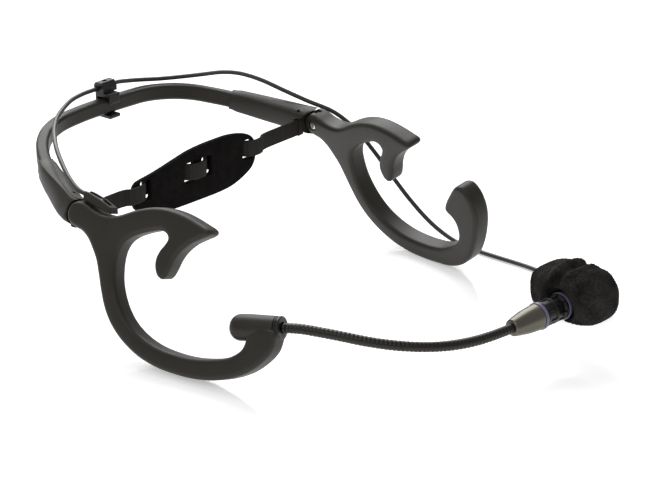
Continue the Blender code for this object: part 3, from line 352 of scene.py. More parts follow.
class Line:
    """A smooth line read by distance along it, in millimetres."""

    def __init__(self, points: Sequence | np.ndarray, steps: int = 8) -> None:
        """Measures the dense points."""
        self.points = catmull(points, steps)
        gaps = np.linalg.norm(np.diff(self.points, axis=0), axis=1)
        self.marks = np.concatenate(([0.0], np.cumsum(gaps)))
        self.length = float(self.marks[-1])

    def at(self, d: np.ndarray | float) -> np.ndarray:
        """Points at distances."""
        d = np.clip(np.atleast_1d(np.asarray(d, float)), 0.0, self.length)
        return np.stack([np.interp(d, self.marks, self.points[:, k]) for k in range(3)], axis=1)

    def heading(self, d: np.ndarray | float) -> np.ndarray:
        """Unit directions at distances."""
        d = np.atleast_1d(np.asarray(d, float))
        return unit(self.at(d + 1.0) - self.at(d - 1.0))


def rounded(wide: float, tall: float, radius: float, corner: int = 8) -> np.ndarray:
    """Points of a rounded rectangle: four quarter circles round its corners.

    Args:
        wide: full width.
        tall: full height.
        radius: corner radius.
        corner: steps per corner.

    Returns:
        The points, counter-clockwise.
    """
    turn = np.radians(np.linspace(0.0, 90.0, corner + 1))
    parts = []
    for cx, cy, start in ((1, 1, 0.0), (-1, 1, 90.0), (-1, -1, 180.0), (1, -1, 270.0)):
        a = turn + math.radians(start)
        parts.append(np.stack([cx * (wide / 2 - radius) + radius * np.cos(a),
                               cy * (tall / 2 - radius) + radius * np.sin(a)], axis=1))
    return np.vstack(parts)


def ring(radius: float, sides: int) -> np.ndarray:
    """Points of a circle."""
    a = np.arange(sides) * 2 * math.pi / sides
    return np.stack([radius * np.cos(a), radius * np.sin(a)], axis=1)


def make_object(name: str, verts: np.ndarray, faces: list, angle: float = 35.0) -> bpy.types.Object:
    """Object from points and faces, turned outward, sharp only past an angle.

    Args:
        name: the piece's name.
        verts: points in the row frame, in metres.
        faces: lists of point numbers.
        angle: degrees past which an edge stays sharp.

    Returns:
        The linked object at the origin.
    """
    mesh = bpy.data.meshes.new(name)
    mesh.from_pydata(verts.tolist(), [], faces)
    made = bpy.data.objects.new(name, mesh)
    bpy.context.scene.collection.objects.link(made)
    settle(made, angle)
    return made


def settle(made: bpy.types.Object, angle: float = 35.0) -> None:
    """Merges doubled points, turns the faces outward and smooths.

    Args:
        made: the piece.
        angle: degrees past which an edge stays sharp.
    """
    bm = bmesh.new()
    bm.from_mesh(made.data)
    bmesh.ops.remove_doubles(bm, verts=bm.verts, dist=2e-7)
    bmesh.ops.recalc_face_normals(bm, faces=bm.faces)
    bm.to_mesh(made.data)
    bm.free()
    made.data.shade_smooth()
    made.data.set_sharp_from_angle(angle=math.radians(angle))


def sweep(name: str, rings: np.ndarray, along: np.ndarray | None = None, loop: bool = False,
          angle: float = 35.0) -> bpy.types.Object:
    """Skin over rings of the same point count, with a fan over each end.

    Args:
        name: the piece's name.
        rings: rows by sides by 3, in the row frame.
        along: each row's distance, for the Flow map.
        loop: join the last ring to the first instead of closing the ends.
        angle: degrees past which an edge stays sharp.

    Returns:
        The object.
    """
    rows, sides = rings.shape[:2]
    last = rows if loop else rows - 1
    i, j = np.arange(last)[:, None], np.arange(sides)[None, :]
    k, n = (j + 1) % sides, (i + 1) % rows
    quads = np.stack([i * sides + j, i * sides + k, n * sides + k, n * sides + j], -1).reshape(-1, 4)
    verts, faces = rings.reshape(-1, 3), quads.tolist()
    s = np.arange(rows, dtype=float) if along is None else np.asarray(along, float)
    s0, s1 = np.broadcast_to(s[:last, None], (last, sides)), np.broadcast_to(s[n[:, 0], None], (last, sides))
    v0, v1 = np.broadcast_to(j / sides, (last, sides)), np.broadcast_to((j + 1) / sides, (last, sides))
    uv = [np.stack([s0, v0, s0, v1, s1, v1, s1, v0], -1).reshape(-1, 2)]
    if not loop:
        top = rows * sides
        verts = np.vstack([verts, rings[0].mean(0), rings[-1].mean(0)])
        a, b = np.arange(sides), (np.arange(sides) + 1) % sides
        faces += np.stack([np.full(sides, top), b, a], -1).tolist()
        low = (rows - 1) * sides
        faces += np.stack([np.full(sides, top + 1), low + a, low + b], -1).tolist()
        uv += [np.tile((s[0], 0.5), (3 * sides, 1)), np.tile((s[-1], 0.5), (3 * sides, 1))]
    mesh = bpy.data.meshes.new(name)
    mesh.from_pydata(verts.tolist(), [], faces)
    layer = mesh.uv_layers.new(name="Flow")
    layer.data.foreach_set("uv", np.vstack(uv).ravel().astype(np.float32))
    made = bpy.data.objects.new(name, mesh)
    bpy.context.scene.collection.objects.link(made)
    settle(made, angle)
    return made


def tube_rings(line: Line, d: np.ndarray, radius: np.ndarray | float, sides: int) -> np.ndarray:
    """Rings square to a line; each ring's side is its direction crossed with up.

    Args:
        line: the centreline.
        d: distances of the rings.
        radius: one radius, or one per ring.
        sides: points per ring.

    Returns:
        Rings in the row frame.
    """
    along = line.heading(d)
    side = unit(np.cross(along, (0.0, 0.0, 1.0)))
    rise = np.cross(side, along)
    spots = ring(1.0, sides)
    size = np.broadcast_to(radius, (len(d),))[:, None, None]
    flat = side[:, None, :] * spots[None, :, :1] + rise[:, None, :] * spots[None, :, 1:]
    return lift(line.at(d)[:, None, :] + size * flat)


def aim(base: np.ndarray, axis: Sequence) -> Matrix:
    """Matrix whose local Z runs along an axis, from a base in metres."""
    turn = Vector(axis).normalized().to_track_quat("Z", "Y")
    return Matrix.Translation(Vector(base)) @ turn.to_matrix().to_4x4()


def moved(points: np.ndarray, matrix: Matrix) -> np.ndarray:
    """Local points in millimetres through a matrix into the row frame."""
    m = np.array(matrix)
    return (points * MM) @ m[:3, :3].T + m[:3, 3]


def revolve(name: str, profile: Sequence, matrix: Matrix, sides: int = 72,
            edge: float = 0.0) -> bpy.types.Object:
    """Turns (radius, height) points round local Z.

    Args:
        name: the piece's name.
        profile: millimetre pairs; one that starts off the axis makes a hollow ring.
        matrix: the local frame.
        sides: points per ring.
        edge: rounding of the sharp edges, in millimetres.

    Returns:
        The object.
    """
    hollow = profile[0][0] > 0.0
    used = np.array([p for p in profile if p[0] > 0.0], float)
    if not hollow:
        used = np.vstack([(0.02, profile[0][1]), used, (0.02, profile[-1][1])])
    spots = ring(1.0, sides)
    rings = np.empty((len(used), sides, 3))
    rings[:, :, :2] = used[:, None, :1] * spots[None, :, :]
    rings[:, :, 2] = used[:, 1:2]
    made = sweep(name, moved(rings.reshape(-1, 3), matrix).reshape(rings.shape), loop=hollow)
    if edge > 0.0:
        round_off(made, edge)
    return made


def round_off(made: bpy.types.Object, width: float, segments: int = 3, angle: float = 35.0) -> None:
    """Adds a bevel to the sharp edges.

    Args:
        made: the piece.
        width: the bevel's width in millimetres.
        segments: steps across it.
        angle: degrees past which an edge is bevelled.
    """
    step = made.modifiers.new("edge", "BEVEL")
    step.width = width * MM
    step.segments = segments
    step.limit_method = "ANGLE"
    step.angle_limit = math.radians(angle)
    step.harden_normals = False
    made.data.shade_smooth()


def carve(made: bpy.types.Object, tool: bpy.types.Object, operation: str = "DIFFERENCE") -> None:
    """Applies one exact Boolean and drops the tool.

    Args:
        made: the piece.
        tool: the cutter.
        operation: the Boolean's kind.
    """
    step = made.modifiers.new("carve", "BOOLEAN")
    step.operation, step.solver, step.object = operation, "EXACT", tool
    graph = bpy.context.evaluated_depsgraph_get()
    solid = bpy.data.meshes.new_from_object(made.evaluated_get(graph))
    made.modifiers.clear()
    old, made.data = made.data, solid
    bpy.data.meshes.remove(old)
    bpy.data.objects.remove(tool, do_unlink=True)
    made.data.shade_smooth()
    made.data.set_sharp_from_angle(angle=math.radians(35.0))


def dress(made: bpy.types.Object, finish: Finish, body: str | None, nodes: Sequence[str] = (),
          flow: bool = False) -> bpy.types.Object:
    """Gives a piece its finish, its body and the CAD nodes it stands for.

    Args:
        made: the piece.
        finish: its surface.
        body: the CAD body it rides, or None where it bends.
        nodes: CAD nodes it replaces.
        flow: whether the finish reads the Flow map.

    Returns:
        The same piece.
    """
    made.data.materials.clear()
    made.data.materials.append(material(finish, flow))
    if body:
        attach(made, body)
    if nodes:
        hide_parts(*nodes)
    LOG.info("%s: %d points", made.name, len(made.data.vertices))
    return made


def resample(loop: np.ndarray, spacing: float) -> np.ndarray:
    """Closed loop at an even spacing, by distance along it.

    Args:
        loop: (x, y) points in millimetres.
        spacing: distance wanted between points.

    Returns:
        The new points.
    """
    ends = np.vstack([loop, loop[:1]])
    marks = np.concatenate(([0.0], np.cumsum(np.linalg.norm(np.diff(ends, axis=0), axis=1))))
    count = max(12, int(round(marks[-1] / spacing)))
    d = np.arange(count) * marks[-1] / count
    return np.stack([np.interp(d, marks, ends[:, k]) for k in (0, 1)], axis=1)


def edge_distance(points: np.ndarray, a: np.ndarray, b: np.ndarray) -> np.ndarray:
    """Shortest distance from each point to the segments from a to b, a block of segments at a time.

    Args:
        points: (x, y) points.
        a: segment starts.
        b: segment ends.

    Returns:
        One distance per point.
    """
    best = np.full(len(points), 1e9)
    for low in range(0, len(a), 200):
        p, q = a[None, low:low + 200], b[None, low:low + 200]
        run = q - p
        rel = points[:, None, :] - p
        t = np.clip((rel * run).sum(-1) / np.maximum((run * run).sum(-1), 1e-12), 0.0, 1.0)
        gap = np.linalg.norm(rel - run * t[..., None], axis=-1)
        best = np.minimum(best, gap.min(axis=1))
    return best


def inside(points: np.ndarray, a: np.ndarray, b: np.ndarray) -> np.ndarray:
    """Even-odd test: a point is inside if a ray to its right crosses an odd number of segments.

    Args:
        points: (x, y) points.
        a: segment starts.
        b: segment ends.

    Returns:
        True for each point inside.
    """
    odd = np.zeros(len(points), bool)
    for low in range(0, len(a), 200):
        p, q = a[None, low:low + 200], b[None, low:low + 200]
        x, y = points[:, :1], points[:, 1:]
        spans = (p[..., 1] > y) != (q[..., 1] > y)
        drop = np.where(spans, q[..., 1] - p[..., 1], 1.0)
        cross = p[..., 0] + (y - p[..., 1]) * (q[..., 0] - p[..., 0]) / drop
        odd ^= ((spans & (x < cross)).sum(axis=1) % 2).astype(bool)
    return odd


def pillow(name: str, loops: Sequence[np.ndarray], half: float, edge: float, crown: float,
           place: Callable[..., np.ndarray], spacing: float = 0.9) -> bpy.types.Object:
    """Flat shape with rolled edges: the height over the middle plane follows a quarter circle of radius
    edge from the outline inward, then a slight crown that grows with distance from the outline.

    Args:
        name: the piece's name.
        loops: the outline and any holes, in millimetres.
        half: half thickness.
        edge: radius of the rolled edge.
        crown: extra height of the middle.
        place: function from (u, v, w) arrays to millimetre points.
        spacing: distance between points.

    Returns:
        The closed object.
    """
    rims = [resample(np.asarray(loop, float), spacing * 0.6) for loop in loops]
    a, b = np.vstack(rims), np.vstack([np.roll(r, -1, axis=0) for r in rims])
    extra = []
    for rim in rims:
        flow = unit(np.roll(rim, -1, axis=0) - np.roll(rim, 1, axis=0))
        normal = np.stack([-flow[:, 1], flow[:, 0]], axis=1)
        for k in range(1, 8):
            reach = edge * (1.0 - math.cos(math.pi / 2 * k / 7))
            for sign in (-1.0, 1.0):
                spots = rim + normal * reach * sign
                gap = edge_distance(spots, a, b)
                extra.append(spots[inside(spots, a, b) & (gap > reach * 0.97)])
    low, high = rims[0].min(0), rims[0].max(0)
    gx, gy = np.meshgrid(np.arange(low[0], high[0], spacing), np.arange(low[1], high[1], spacing))
    grid = np.stack([gx.ravel(), gy.ravel()], axis=1)
    grid = grid[inside(grid, a, b)]
    extra.append(grid[edge_distance(grid, a, b) > edge + spacing * 0.4])
    flat = np.vstack([a] + extra)
    starts = np.cumsum([0] + [len(r) for r in rims])
    edges = []
    for start, rim in zip(starts, rims):
        n = np.arange(len(rim))
        edges += np.stack([start + n, start + (n + 1) % len(rim)], axis=1).tolist()
    found = geometry.delaunay_2d_cdt([Vector(p) for p in flat.tolist()], edges, [], 0, 1e-5)
    flat = np.array([tuple(p) for p in found[0]])
    tris = np.array(found[2], int)
    tris = tris[inside(flat[tris].mean(axis=1), a, b)]
    d = edge_distance(flat, a, b)
    d = np.where(d < 1e-4, 0.0, d)
    near = np.minimum(d, edge)
    up = half - edge + np.sqrt(np.maximum(edge ** 2 - (edge - near) ** 2, 0.0))
    up = up + crown * (1.0 - np.exp(-np.maximum(d - edge, 0.0) / 2.5))
    count = len(flat)
    verts = np.vstack([place(flat[:, 0], flat[:, 1], up), place(flat[:, 0], flat[:, 1], -up)])
    sides = np.vstack([tris[:, [0, 1]], tris[:, [1, 2]], tris[:, [2, 0]]])
    key = np.sort(sides, axis=1)
    _, back, times = np.unique(key, axis=0, return_inverse=True, return_counts=True)
    rim_edges = sides[times[back.ravel()] == 1]
    p, q = rim_edges[:, 0], rim_edges[:, 1]
    wall = np.stack([q, p, p + count, q + count], axis=1)
    faces = tris.tolist() + (tris[:, ::-1] + count).tolist() + wall.tolist()
    return make_object(name, lift(verts), faces, 50.0)


def copied(node: str, body: str, finish: Finish, width: float = 0.15) -> bpy.types.Object:
    """A CAD node's shape with merged points and rounded edges.

    Args:
        node: the CAD node.
        body: the body it rides.
        finish: its surface.
        width: rounding in millimetres.

    Returns:
        The piece.
    """
    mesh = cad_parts[node].data.copy()
    made = bpy.data.objects.new(node + "_look", mesh)
    bpy.context.scene.collection.objects.link(made)
    bm = bmesh.new()
    bm.from_mesh(mesh)
    bmesh.ops.remove_doubles(bm, verts=bm.verts, dist=2e-6)
    bmesh.ops.dissolve_limit(bm, angle_limit=math.radians(1.0), verts=bm.verts, edges=bm.edges)
    bmesh.ops.recalc_face_normals(bm, faces=bm.faces)
    bm.to_mesh(mesh)
    bm.free()
    mesh.shade_smooth()
    mesh.set_sharp_from_angle(angle=math.radians(35.0))
    if width > 0.0:
        round_off(made, width, 2)
    return dress(made, finish, body, (node,))


class EarPlane:
    """Frame of one ear hook: u forward, v up, w outward."""

    def __init__(self, origin: Sequence, angles: Sequence, side: float) -> None:
        """Works the three directions out of lean, toe and pitch."""
        lean, toe, pitch = (math.radians(x) for x in angles)
        flat = math.cos(lean)
        out = np.array([side * flat * math.cos(toe), -flat * math.sin(toe), math.sin(lean)])
        fore = np.array([-side * math.sin(toe), -math.cos(toe), 0.0])
        rise = np.cross(out, fore) if side < 0 else np.cross(fore, out)
        self.side, self.out, self.origin = side, out, np.array(origin, float)
        self.fore = fore * math.cos(pitch) + rise * math.sin(pitch)
        self.rise = rise * math.cos(pitch) - fore * math.sin(pitch)

    def place(self, u: np.ndarray, v: np.ndarray, w: np.ndarray) -> np.ndarray:
        """Millimetre points from plane coordinates."""
        u, v, w = (np.asarray(x, float)[..., None] for x in (u, v, w))
        return self.origin + self.fore * u + self.rise * v + self.out * w


RIGHT = EarPlane((-76.7, 0.0, 1.2), (18.8, 5.9, 0.0), -1.0)
LEFT = EarPlane((77.1, 0.8, 1.3), (12.8, 9.1, 1.8), 1.0)


@dataclass
class EarHook:
    """One ear hook with its knuckle, screw and guide."""

    word: str
    plane: EarPlane
    end: list
    thick: float = 9.1
    edge: float = 2.1
    slot: float = 3.4

    def build(self) -> None:
        """Makes the hook and dresses the small pieces on it."""
        outline = catmull(BACK_EDGE + self.end + INNER_EDGE, 6, True)
        middle = self.thick / 2
        made = pillow("hook_" + self.word, [outline], middle, self.edge, 0.12,
                      lambda u, v, w: self.plane.place(u, v, w + middle), 0.9)
        for tool in self.tools():
            carve(made, tool)
        settle(made, 40.0)
        body = self.word + "_hook"
        dress(made, SOFT_BLACK, body, ["temple_" + self.word])
        copied("pivot_screw_" + self.word, body, PLATED, 0.08)
        if self.word == "right":
            copied("cable_guide", body, SOFT_BLACK, 0.2)

    def disc(self, radius: float, low: float, high: float, square: bool = False) -> bpy.types.Object:
        """Cutter round the pivot between two depths."""
        spots = ring(radius, 48)
        if square:
            spots = np.array([(-12.0, -9.0), (2.0, -9.0), (2.0, 9.0), (-12.0, 9.0)])
        u, v = spots[:, 0] + PIVOT[0], spots[:, 1] + PIVOT[1]
        rows = [self.plane.place(u, v, np.full(len(spots), w)) for w in (low, high)]
        return sweep("tool", lift(np.array(rows)))

    def tools(self) -> list[bpy.types.Object]:
        """Cutters of the tongue slot, screw way and sunk head."""
        low, high = self.thick / 2 - self.slot / 2, self.thick / 2 + self.slot / 2
        return [self.disc(5.3, low, high), self.disc(0.0, low, high, True),
                self.disc(1.3, -1.0, 3.5), self.disc(2.25, -1.0, 1.3)]


def strap_height(x: np.ndarray | float) -> np.ndarray | float:
    """Height of the strap's middle at x."""
    return 45.1 + (46.8 - 45.1) * (x + 68.6) / (76.6 + 68.6)


@dataclass
class Headband:
    """Neckband, its end sleeves, the strap and its pad."""

    wide: float = 5.5
    tall: float = 7.0
    radius: float = 1.6
    groove: float = 0.22

    def sections(self, line: Line, d: np.ndarray, section: np.ndarray) -> np.ndarray:
        """Rings of the band; near each pivot its side turns toward that hook's outward direction.

        Args:
            line: the band's centreline.
            d: distances of the rings.
            section: (side, up) offsets, one set or one per ring.

        Returns:
            Rings in the row frame.
        """
        along = line.heading(d)
        side = unit(np.cross((0.0, 0.0, 1.0), along))
        for plane, gone in ((RIGHT, d), (LEFT, line.length - d)):
            ease = np.clip((gone - 6.5) / (46.0 - 6.5), 0.0, 1.0)
            ease = (ease * ease * (3 - 2 * ease))[:, None]
            side = np.where((gone < 46.0)[:, None], plane.out * (1 - ease) + side * ease, side)
        side = unit(side - along * (side * along).sum(1, keepdims=True))
        rise = np.cross(along, side)
        return lift(line.at(d)[:, None, :] + side[:, None, :] * section[..., :1]
                    + rise[:, None, :] * section[..., 1:])

    def build(self) -> None:
        """Makes the band, strap and pad."""
        line = Line(BAND_ROUTE)
        section = rounded(self.wide, self.tall, self.radius)
        for height in (-1.5, 1.5):
            dip = self.groove * np.exp(-((section[:, 1] - height) / 0.3) ** 2)
            section[:, 0] -= np.sign(section[:, 0]) * dip * (np.abs(section[:, 0]) > 2.0)
        d = np.linspace(15.0, line.length - 15.0, 220)
        dense = catmull(section, 3, True)
        band = sweep("band", self.sections(line, d, dense), d)
        dress(band, SOFT_BLACK, "headband", ["neckband"])
        for word in ("right", "left"):
            copied("band_end_" + word, "headband", SOFT_BLACK, 0.35)
        self.strap()
        self.pad()

    def strap(self) -> None:
        """Ribbed webbing along its weave; the ribs are a sine of the distance along it."""
        weave = np.array([(x, STRAP_Y + y, strap_height(x)) for x, y in WEAVE])
        line = Line(weave, 6)
        d = np.arange(0.0, line.length, 0.22)
        spots, along = line.at(d), line.heading(d)
        side = unit(np.stack([-along[:, 1], along[:, 0], np.zeros(len(d))], axis=1))
        rib = 0.07 * np.sin(2 * math.pi * d / 1.1)
        ends = np.minimum(d, line.length - d) < 3.4
        thick = np.where(ends, 2.6, 1.2) + rib
        base = rounded(1.0, 7.4, 0.3, 4)
        flat = base[None, :, :] * np.stack([thick, np.ones(len(d))], axis=1)[:, None, :]
        out = spots[:, None, :] + side[:, None, :] * flat[..., :1] + np.array([0.0, 0.0, 1.0]) * flat[..., 1:]
        made = sweep("strap_web", lift(out), d / 1.1)
        dress(made, WEBBING, "headband", ["strap"], True)

    def pad(self) -> None:
        """Nape pad with its four slots."""
        outline = catmull(PAD_OUTLINE, 6, True)
        slots = [rounded(6.0, 8.6, 0.7, 4) + (x, strap_height(x)) for x in PAD_SLOTS]
        made = pillow("nape_pad", [outline, *slots], 1.4, 0.9, 0.15,
                      lambda u, v, w: np.stack([u, STRAP_Y - w, v], axis=1), 0.9)
        dress(made, KNIT_PAD, "headband", ["strap_pad"])


@dataclass
class Clip:
    """Sliding cable clip on the band."""

    width: float = 0.3

    def build(self) -> None:
        """Dresses the clip and its saddle."""
        copied("band_clip", "clip", DEEP_BLACK, self.width)
        copied("clip_saddle", "clip", DEEP_BLACK, self.width)


SOCKET_AXIS = unit(np.array([0.273, -0.947, 0.149]))
MIC_AXIS = unit(np.array([0.993, -0.114, 0.029]))


def mic_frame() -> Matrix:
    """Frame at the gooseneck's end along the microphone."""
    return aim(lift(GOOSENECK_ROUTE[-1]), MIC_AXIS)


@dataclass
class Boom:
    """Socket barrel, collar and the beaded gooseneck."""

    length: float = 22.5
    radius: float = 2.1
    pitch: float = 1.65
    bead: float = 0.2
    reach: float = 9.0

    def build(self) -> None:
        """Makes the barrel and both halves of the gooseneck."""
        base = aim(lift(np.array([-70.1, -32.5, 24.5]) - SOCKET_AXIS * self.length / 2), SOCKET_AXIS)
        stop = self.length - 2.6
        barrel = [(0.0, 0.0), (1.2, 0.03), (2.4, 0.25), (3.5, 0.8), (4.3, 1.55), (4.9, 2.5), (5.2, 3.4),
                  (5.3, 4.4), (5.3, 8.0), (5.25, 10.0), (4.7, stop), (3.6, stop), (3.6, 5.0), (0.0, 5.0)]
        dress(revolve("socket_barrel", barrel, base, 80), SOFT_BLACK, "right_hook", ["boom_socket"])
        low, high = stop + 0.3, self.length
        collar = [(2.5, low), (4.6, low), (4.6, low + 0.5), (4.25, low + 0.7), (4.6, low + 0.9),
                  (4.7, high - 0.4), (4.4, high), (2.5, high)]
        dress(revolve("socket_ring", collar, base, 80, 0.1), DEEP_BLACK, "right_hook", ["socket_collar"])
        self.neck()

    def neck(self) -> None:
        """Beads are half-waves of a cosine in radius along the neck."""
        line = Line(GOOSENECK_ROUTE)
        split = round(line.length * 0.49 / self.pitch) * self.pitch
        tuck = 0.6
        runs = (("neck_rear", tuck, split, 0.30, "boom", "gooseneck_mid",
                 ["gooseneck_rear", "gooseneck_middle"]),
                ("neck_front", split, line.length - tuck, 0.68, "gooseneck_mid", "microphone",
                 ["gooseneck_front"]))
        for name, low, high, bend, near, far, nodes in runs:
            d = np.linspace(low, high, int((high - low) / self.pitch * 9))
            size = self.radius - self.bead + self.bead * np.abs(np.sin(math.pi * d / self.pitch)) ** 0.6
            made = sweep(name, tube_rings(line, d, size, 28), d, angle=80.0)
            dress(made, NECK_METAL_PAINTED_SHADE, None, nodes)
            at = line.length * bend
            start, end = (lift(line.at(at + sign * self.reach)[0]).tolist() for sign in (-1.0, 1.0))
            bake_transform(made)


@dataclass
class Microphone:
    """Ferrule, marker rings, vented sleeve and grille."""

    radius: float = 5.6
    ferrule: float = 14.4
    ring: float = 1.6
    vent: float = 11.6

    def build(self) -> None:
        """Makes the turned pieces and dresses the vented ones."""
        at = mic_frame()
        end = self.ferrule
        shell = [(0.0, -0.2), (2.9, -0.2), (3.5, 0.3), (4.1, 3.0), (4.9, 7.5), (5.45, end), (4.6, end),
                 (4.0, 8.0), (2.4, 3.0), (0.0, 3.0)]
        dress(revolve("mic_shell", shell, at, 96, 0.15), SHELL_METAL_PAINTED_LIGHT, "microphone", ["mic_ferrule"])
        first = end + 0.3
        second = first + self.ring + 0.6 + self.vent
        outer = self.radius + 0.15
        for word, low in (("rear", first), ("front", second)):
            high = low + self.ring
            band = [(4.6, low), (outer - 0.25, low), (outer, low + 0.3), (outer, high - 0.3),
                    (outer - 0.25, high), (4.6, high)]
            made = revolve("tint_ring_" + word, band, at, 96, 0.12)
            dress(made, LAVENDER, "microphone", ["marker_ring_" + word])
        self.sleeve(at, first + self.ring + 0.3)
        copied("mic_grille", "microphone", DARK_METAL, 0.12)


    def sleeve(self, at: Matrix, low: float) -> None:
        """Sleeve whose two staggered rows of eight windows are dips in radius between smooth steps.

        Args:
            at: the microphone's frame.
            low: where the sleeve starts.
        """
        s, turn = np.linspace(0.0, self.vent, 120), np.arange(320) * 2 * math.pi / 320

        def step(x: np.ndarray, half: float, soft: float) -> np.ndarray:
            """One inside a half width, falling smoothly to nought."""
            t = np.clip((half + soft - np.abs(x)) / soft, 0.0, 1.0)
            return t * t * (3 - 2 * t)

        dip = np.zeros((len(s), len(turn)))
        for row in range(2):
            pitch = 2 * math.pi / 8
            around = (turn - row * pitch / 2 + pitch / 2) % pitch - pitch / 2
            dip += step(s - 3.3 - row * 5.0, 1.75, 0.35)[:, None] * step(around * 5.3, 1.45, 0.35)[None, :]
        ridge = 0.18 * (step(s - 0.3, 0.25, 0.2) + step(s - self.vent + 0.3, 0.25, 0.2))[:, None]
        size = 5.3 + ridge - 0.62 * np.minimum(dip, 1.0)
        height = np.broadcast_to(low + s[:, None], size.shape)
        outer = np.stack([size * np.cos(turn), size * np.sin(turn), height], -1)
        inner = outer[::-1].copy()
        inner[..., :2] = 4.62 * np.stack([np.cos(turn), np.sin(turn)], -1)
        rings = np.vstack([outer, inner[[0, -1]]])
        placed = moved(rings.reshape(-1, 3), at).reshape(rings.shape)
        made = sweep("vent_sleeve", placed, loop=True, angle=50.0)
        dress(made, DEEP_BLACK, "microphone", ["vented_sleeve"])


@dataclass
class Windscreen:
    """Foam pillow with two lobes and a folded mouth."""

    start: float = 30.4
    fore: float = 18.5
    deep: float = 12.2
    tall: float = 11.0

    def build(self) -> None:
        """Pillow whose cross-section is a superellipse of power 3. Its half width follows sin^0.62 of the
        angle from one end to the other, narrowed by a bell round the middle, with lumps that are sums of
        sines of position and a fine random fuzz along the normal."""
        fore = unit(np.array([0.0, -1.0, 0.0]) - MIC_AXIS * -MIC_AXIS[1])
        rise = np.cross(fore, MIC_AXIS)
        centre = np.array(GOOSENECK_ROUTE[-1]) + MIC_AXIS * (self.start + 8.0) - fore + rise * 2.8
        share = np.linspace(0.0, 1.0, 152)[1:-1]
        angle = math.pi * share
        along = -np.sign(np.cos(angle)) * np.abs(np.cos(angle)) ** 0.75
        wide = np.sin(angle) ** 0.62
        waist = 1.0 - 0.105 * np.exp(-(along / 0.085) ** 2)
        spots = ring(1.0, 200)
        squash = 1.0 / (np.abs(spots[:, 0]) ** 3 + np.abs(spots[:, 1]) ** 3) ** (1 / 3)
        x = spots[None, :, 0] * squash * (wide * waist)[:, None]
        y = spots[None, :, 1] * squash * (wide * waist)[:, None]
        a = np.broadcast_to(along[:, None], x.shape)
        lump = 1.0 + 0.026 * np.sin(5.0 * a + 2.0 * x + 0.6) * np.cos(3.0 * y + 1.5 * x) \
            + 0.014 * np.sin(9.0 * a - 4.0 * y)
        top = np.clip(y, 0.0, 1.0) ** 2
        for place, high in ((-0.20, 0.13), (0.17, 0.10)):
            lump = lump + high * top * np.exp(-((a - place) / 0.10) ** 2)
        lump = lump - 0.10 * top * (np.clip(np.abs(a) - 0.5, 0.0, 0.5) * 2.0)
        fuzz = np.random.default_rng(11).normal(0.0, 0.009, x.shape)
        x, y = x * (lump + fuzz), y * (lump + fuzz)
        out = centre + fore * (self.fore * a)[..., None] + MIC_AXIS * (self.deep * x)[..., None] \
            + rise * (self.tall * y)[..., None]
        made = sweep("foam", lift(out), angle=180.0)
        stop, bore = self.start + 10.4, self.radius_of_bore()
        mouth = self.start
        way = [(0, mouth - 20.0), (9.4, mouth - 20.0), (9.4, mouth - 5.0), (8.4, mouth - 2.8),
               (7.2, mouth - 1.0), (6.5, mouth - 0.2), (bore, mouth + 0.6), (bore, stop),
               (bore - 2.0, stop + 1.2), (0, stop + 1.2)]
        carve(made, revolve("tool", way, mic_frame(), 72))
        settle(made, 60.0)
        dress(made, FOAM, "foam_windscreen", ["windscreen"])

    def radius_of_bore(self) -> float:
        """Radius of the way for the microphone."""
        return 5.6 + 0.1 + 0.3


@dataclass
class Cable:
    """Held lead, the free cord with its coil and tail, and the tie."""

    radius: float = 1.0
    columns: tuple = (12.05, 10.0, 7.95)
    layers: tuple = (-0.1, 1.95, 4.0)

    def build(self) -> None:
        """Makes both runs."""
        lead = Line(LEAD_ROUTE)
        d = np.linspace(0.0, lead.length, 150)
        made = sweep("cord_lead", tube_rings(lead, d, self.radius, 20), d, angle=60.0)
        dress(made, JACKET, None, ["cable_lead"])
        start, end = (lift(lead.at(gone)[0]).tolist() for gone in (4.0, 40.0))
        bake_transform(made)
        path = lift(lead.at(np.linspace(0, lead.length, 60))).tolist()
        free = Line(self.free_points(), 6)
        d = np.linspace(0.0, free.length, int(free.length / 1.0))
        made = sweep("cord_free", tube_rings(free, d, self.radius, 16), d, angle=60.0)
        dress(made, JACKET, "headband", ["cable_free", "cable_coil", "cable_tail"])
        LOG.info("free cord %.4f m, lead %.4f m", free.length * MM, lead.length * MM)
        tie = copied("cable_tie", "headband", WEBBING, 0.2)
        path = lift(free.at(np.linspace(0, free.length, int(free.length / 2.0)))).tolist()
        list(Plug.made)

    def free_points(self) -> np.ndarray:
        """Clip to coil to plug. Each turn keeps one column and layer, and shifts to the next over its
        last 40 degrees.

        Returns:
            Control points in millimetres.
        """
        order = ((0, 0), (1, 0), (2, 0), (2, 1), (2, 2), (1, 2), (1, 1), (0, 1), (0, 2))
        cells = np.array([(self.columns[c], self.layers[r]) for c, r in order])
        turn = np.arange(0.0, 9 * 360.0 - 100.0, 15.0)
        k = np.minimum((turn // 360).astype(int), 8)
        ease = np.clip((turn % 360 - 320.0) / 40.0, 0.0, 1.0)
        ease = (ease * ease * (3 - 2 * ease))[:, None]
        cell = cells[k] * (1 - ease) + cells[np.minimum(k + 1, 8)] * ease
        a = np.radians(turn + 120.0)
        coil = self.round_coil(a, cell[:, 0], cell[:, 1])
        tail = np.array(TAIL_SPIRAL)
        end = self.round_coil(np.radians(tail[:, 0]), tail[:, 1], tail[:, 2])
        into = self.round_coil(np.radians([98.0]), np.array([13.2]), np.array([-0.05]))
        return np.vstack([FREE_ROUTE, into, coil, end])

    def round_coil(self, turn: np.ndarray, reach: np.ndarray, height: np.ndarray) -> np.ndarray:
        """Points at angles, radii and heights round the coil's middle."""
        x, y = (COIL_MIDDLE[k] + reach * wave(turn) for k, wave in enumerate((np.cos, np.sin)))
        return np.stack([x, y, height], 1)


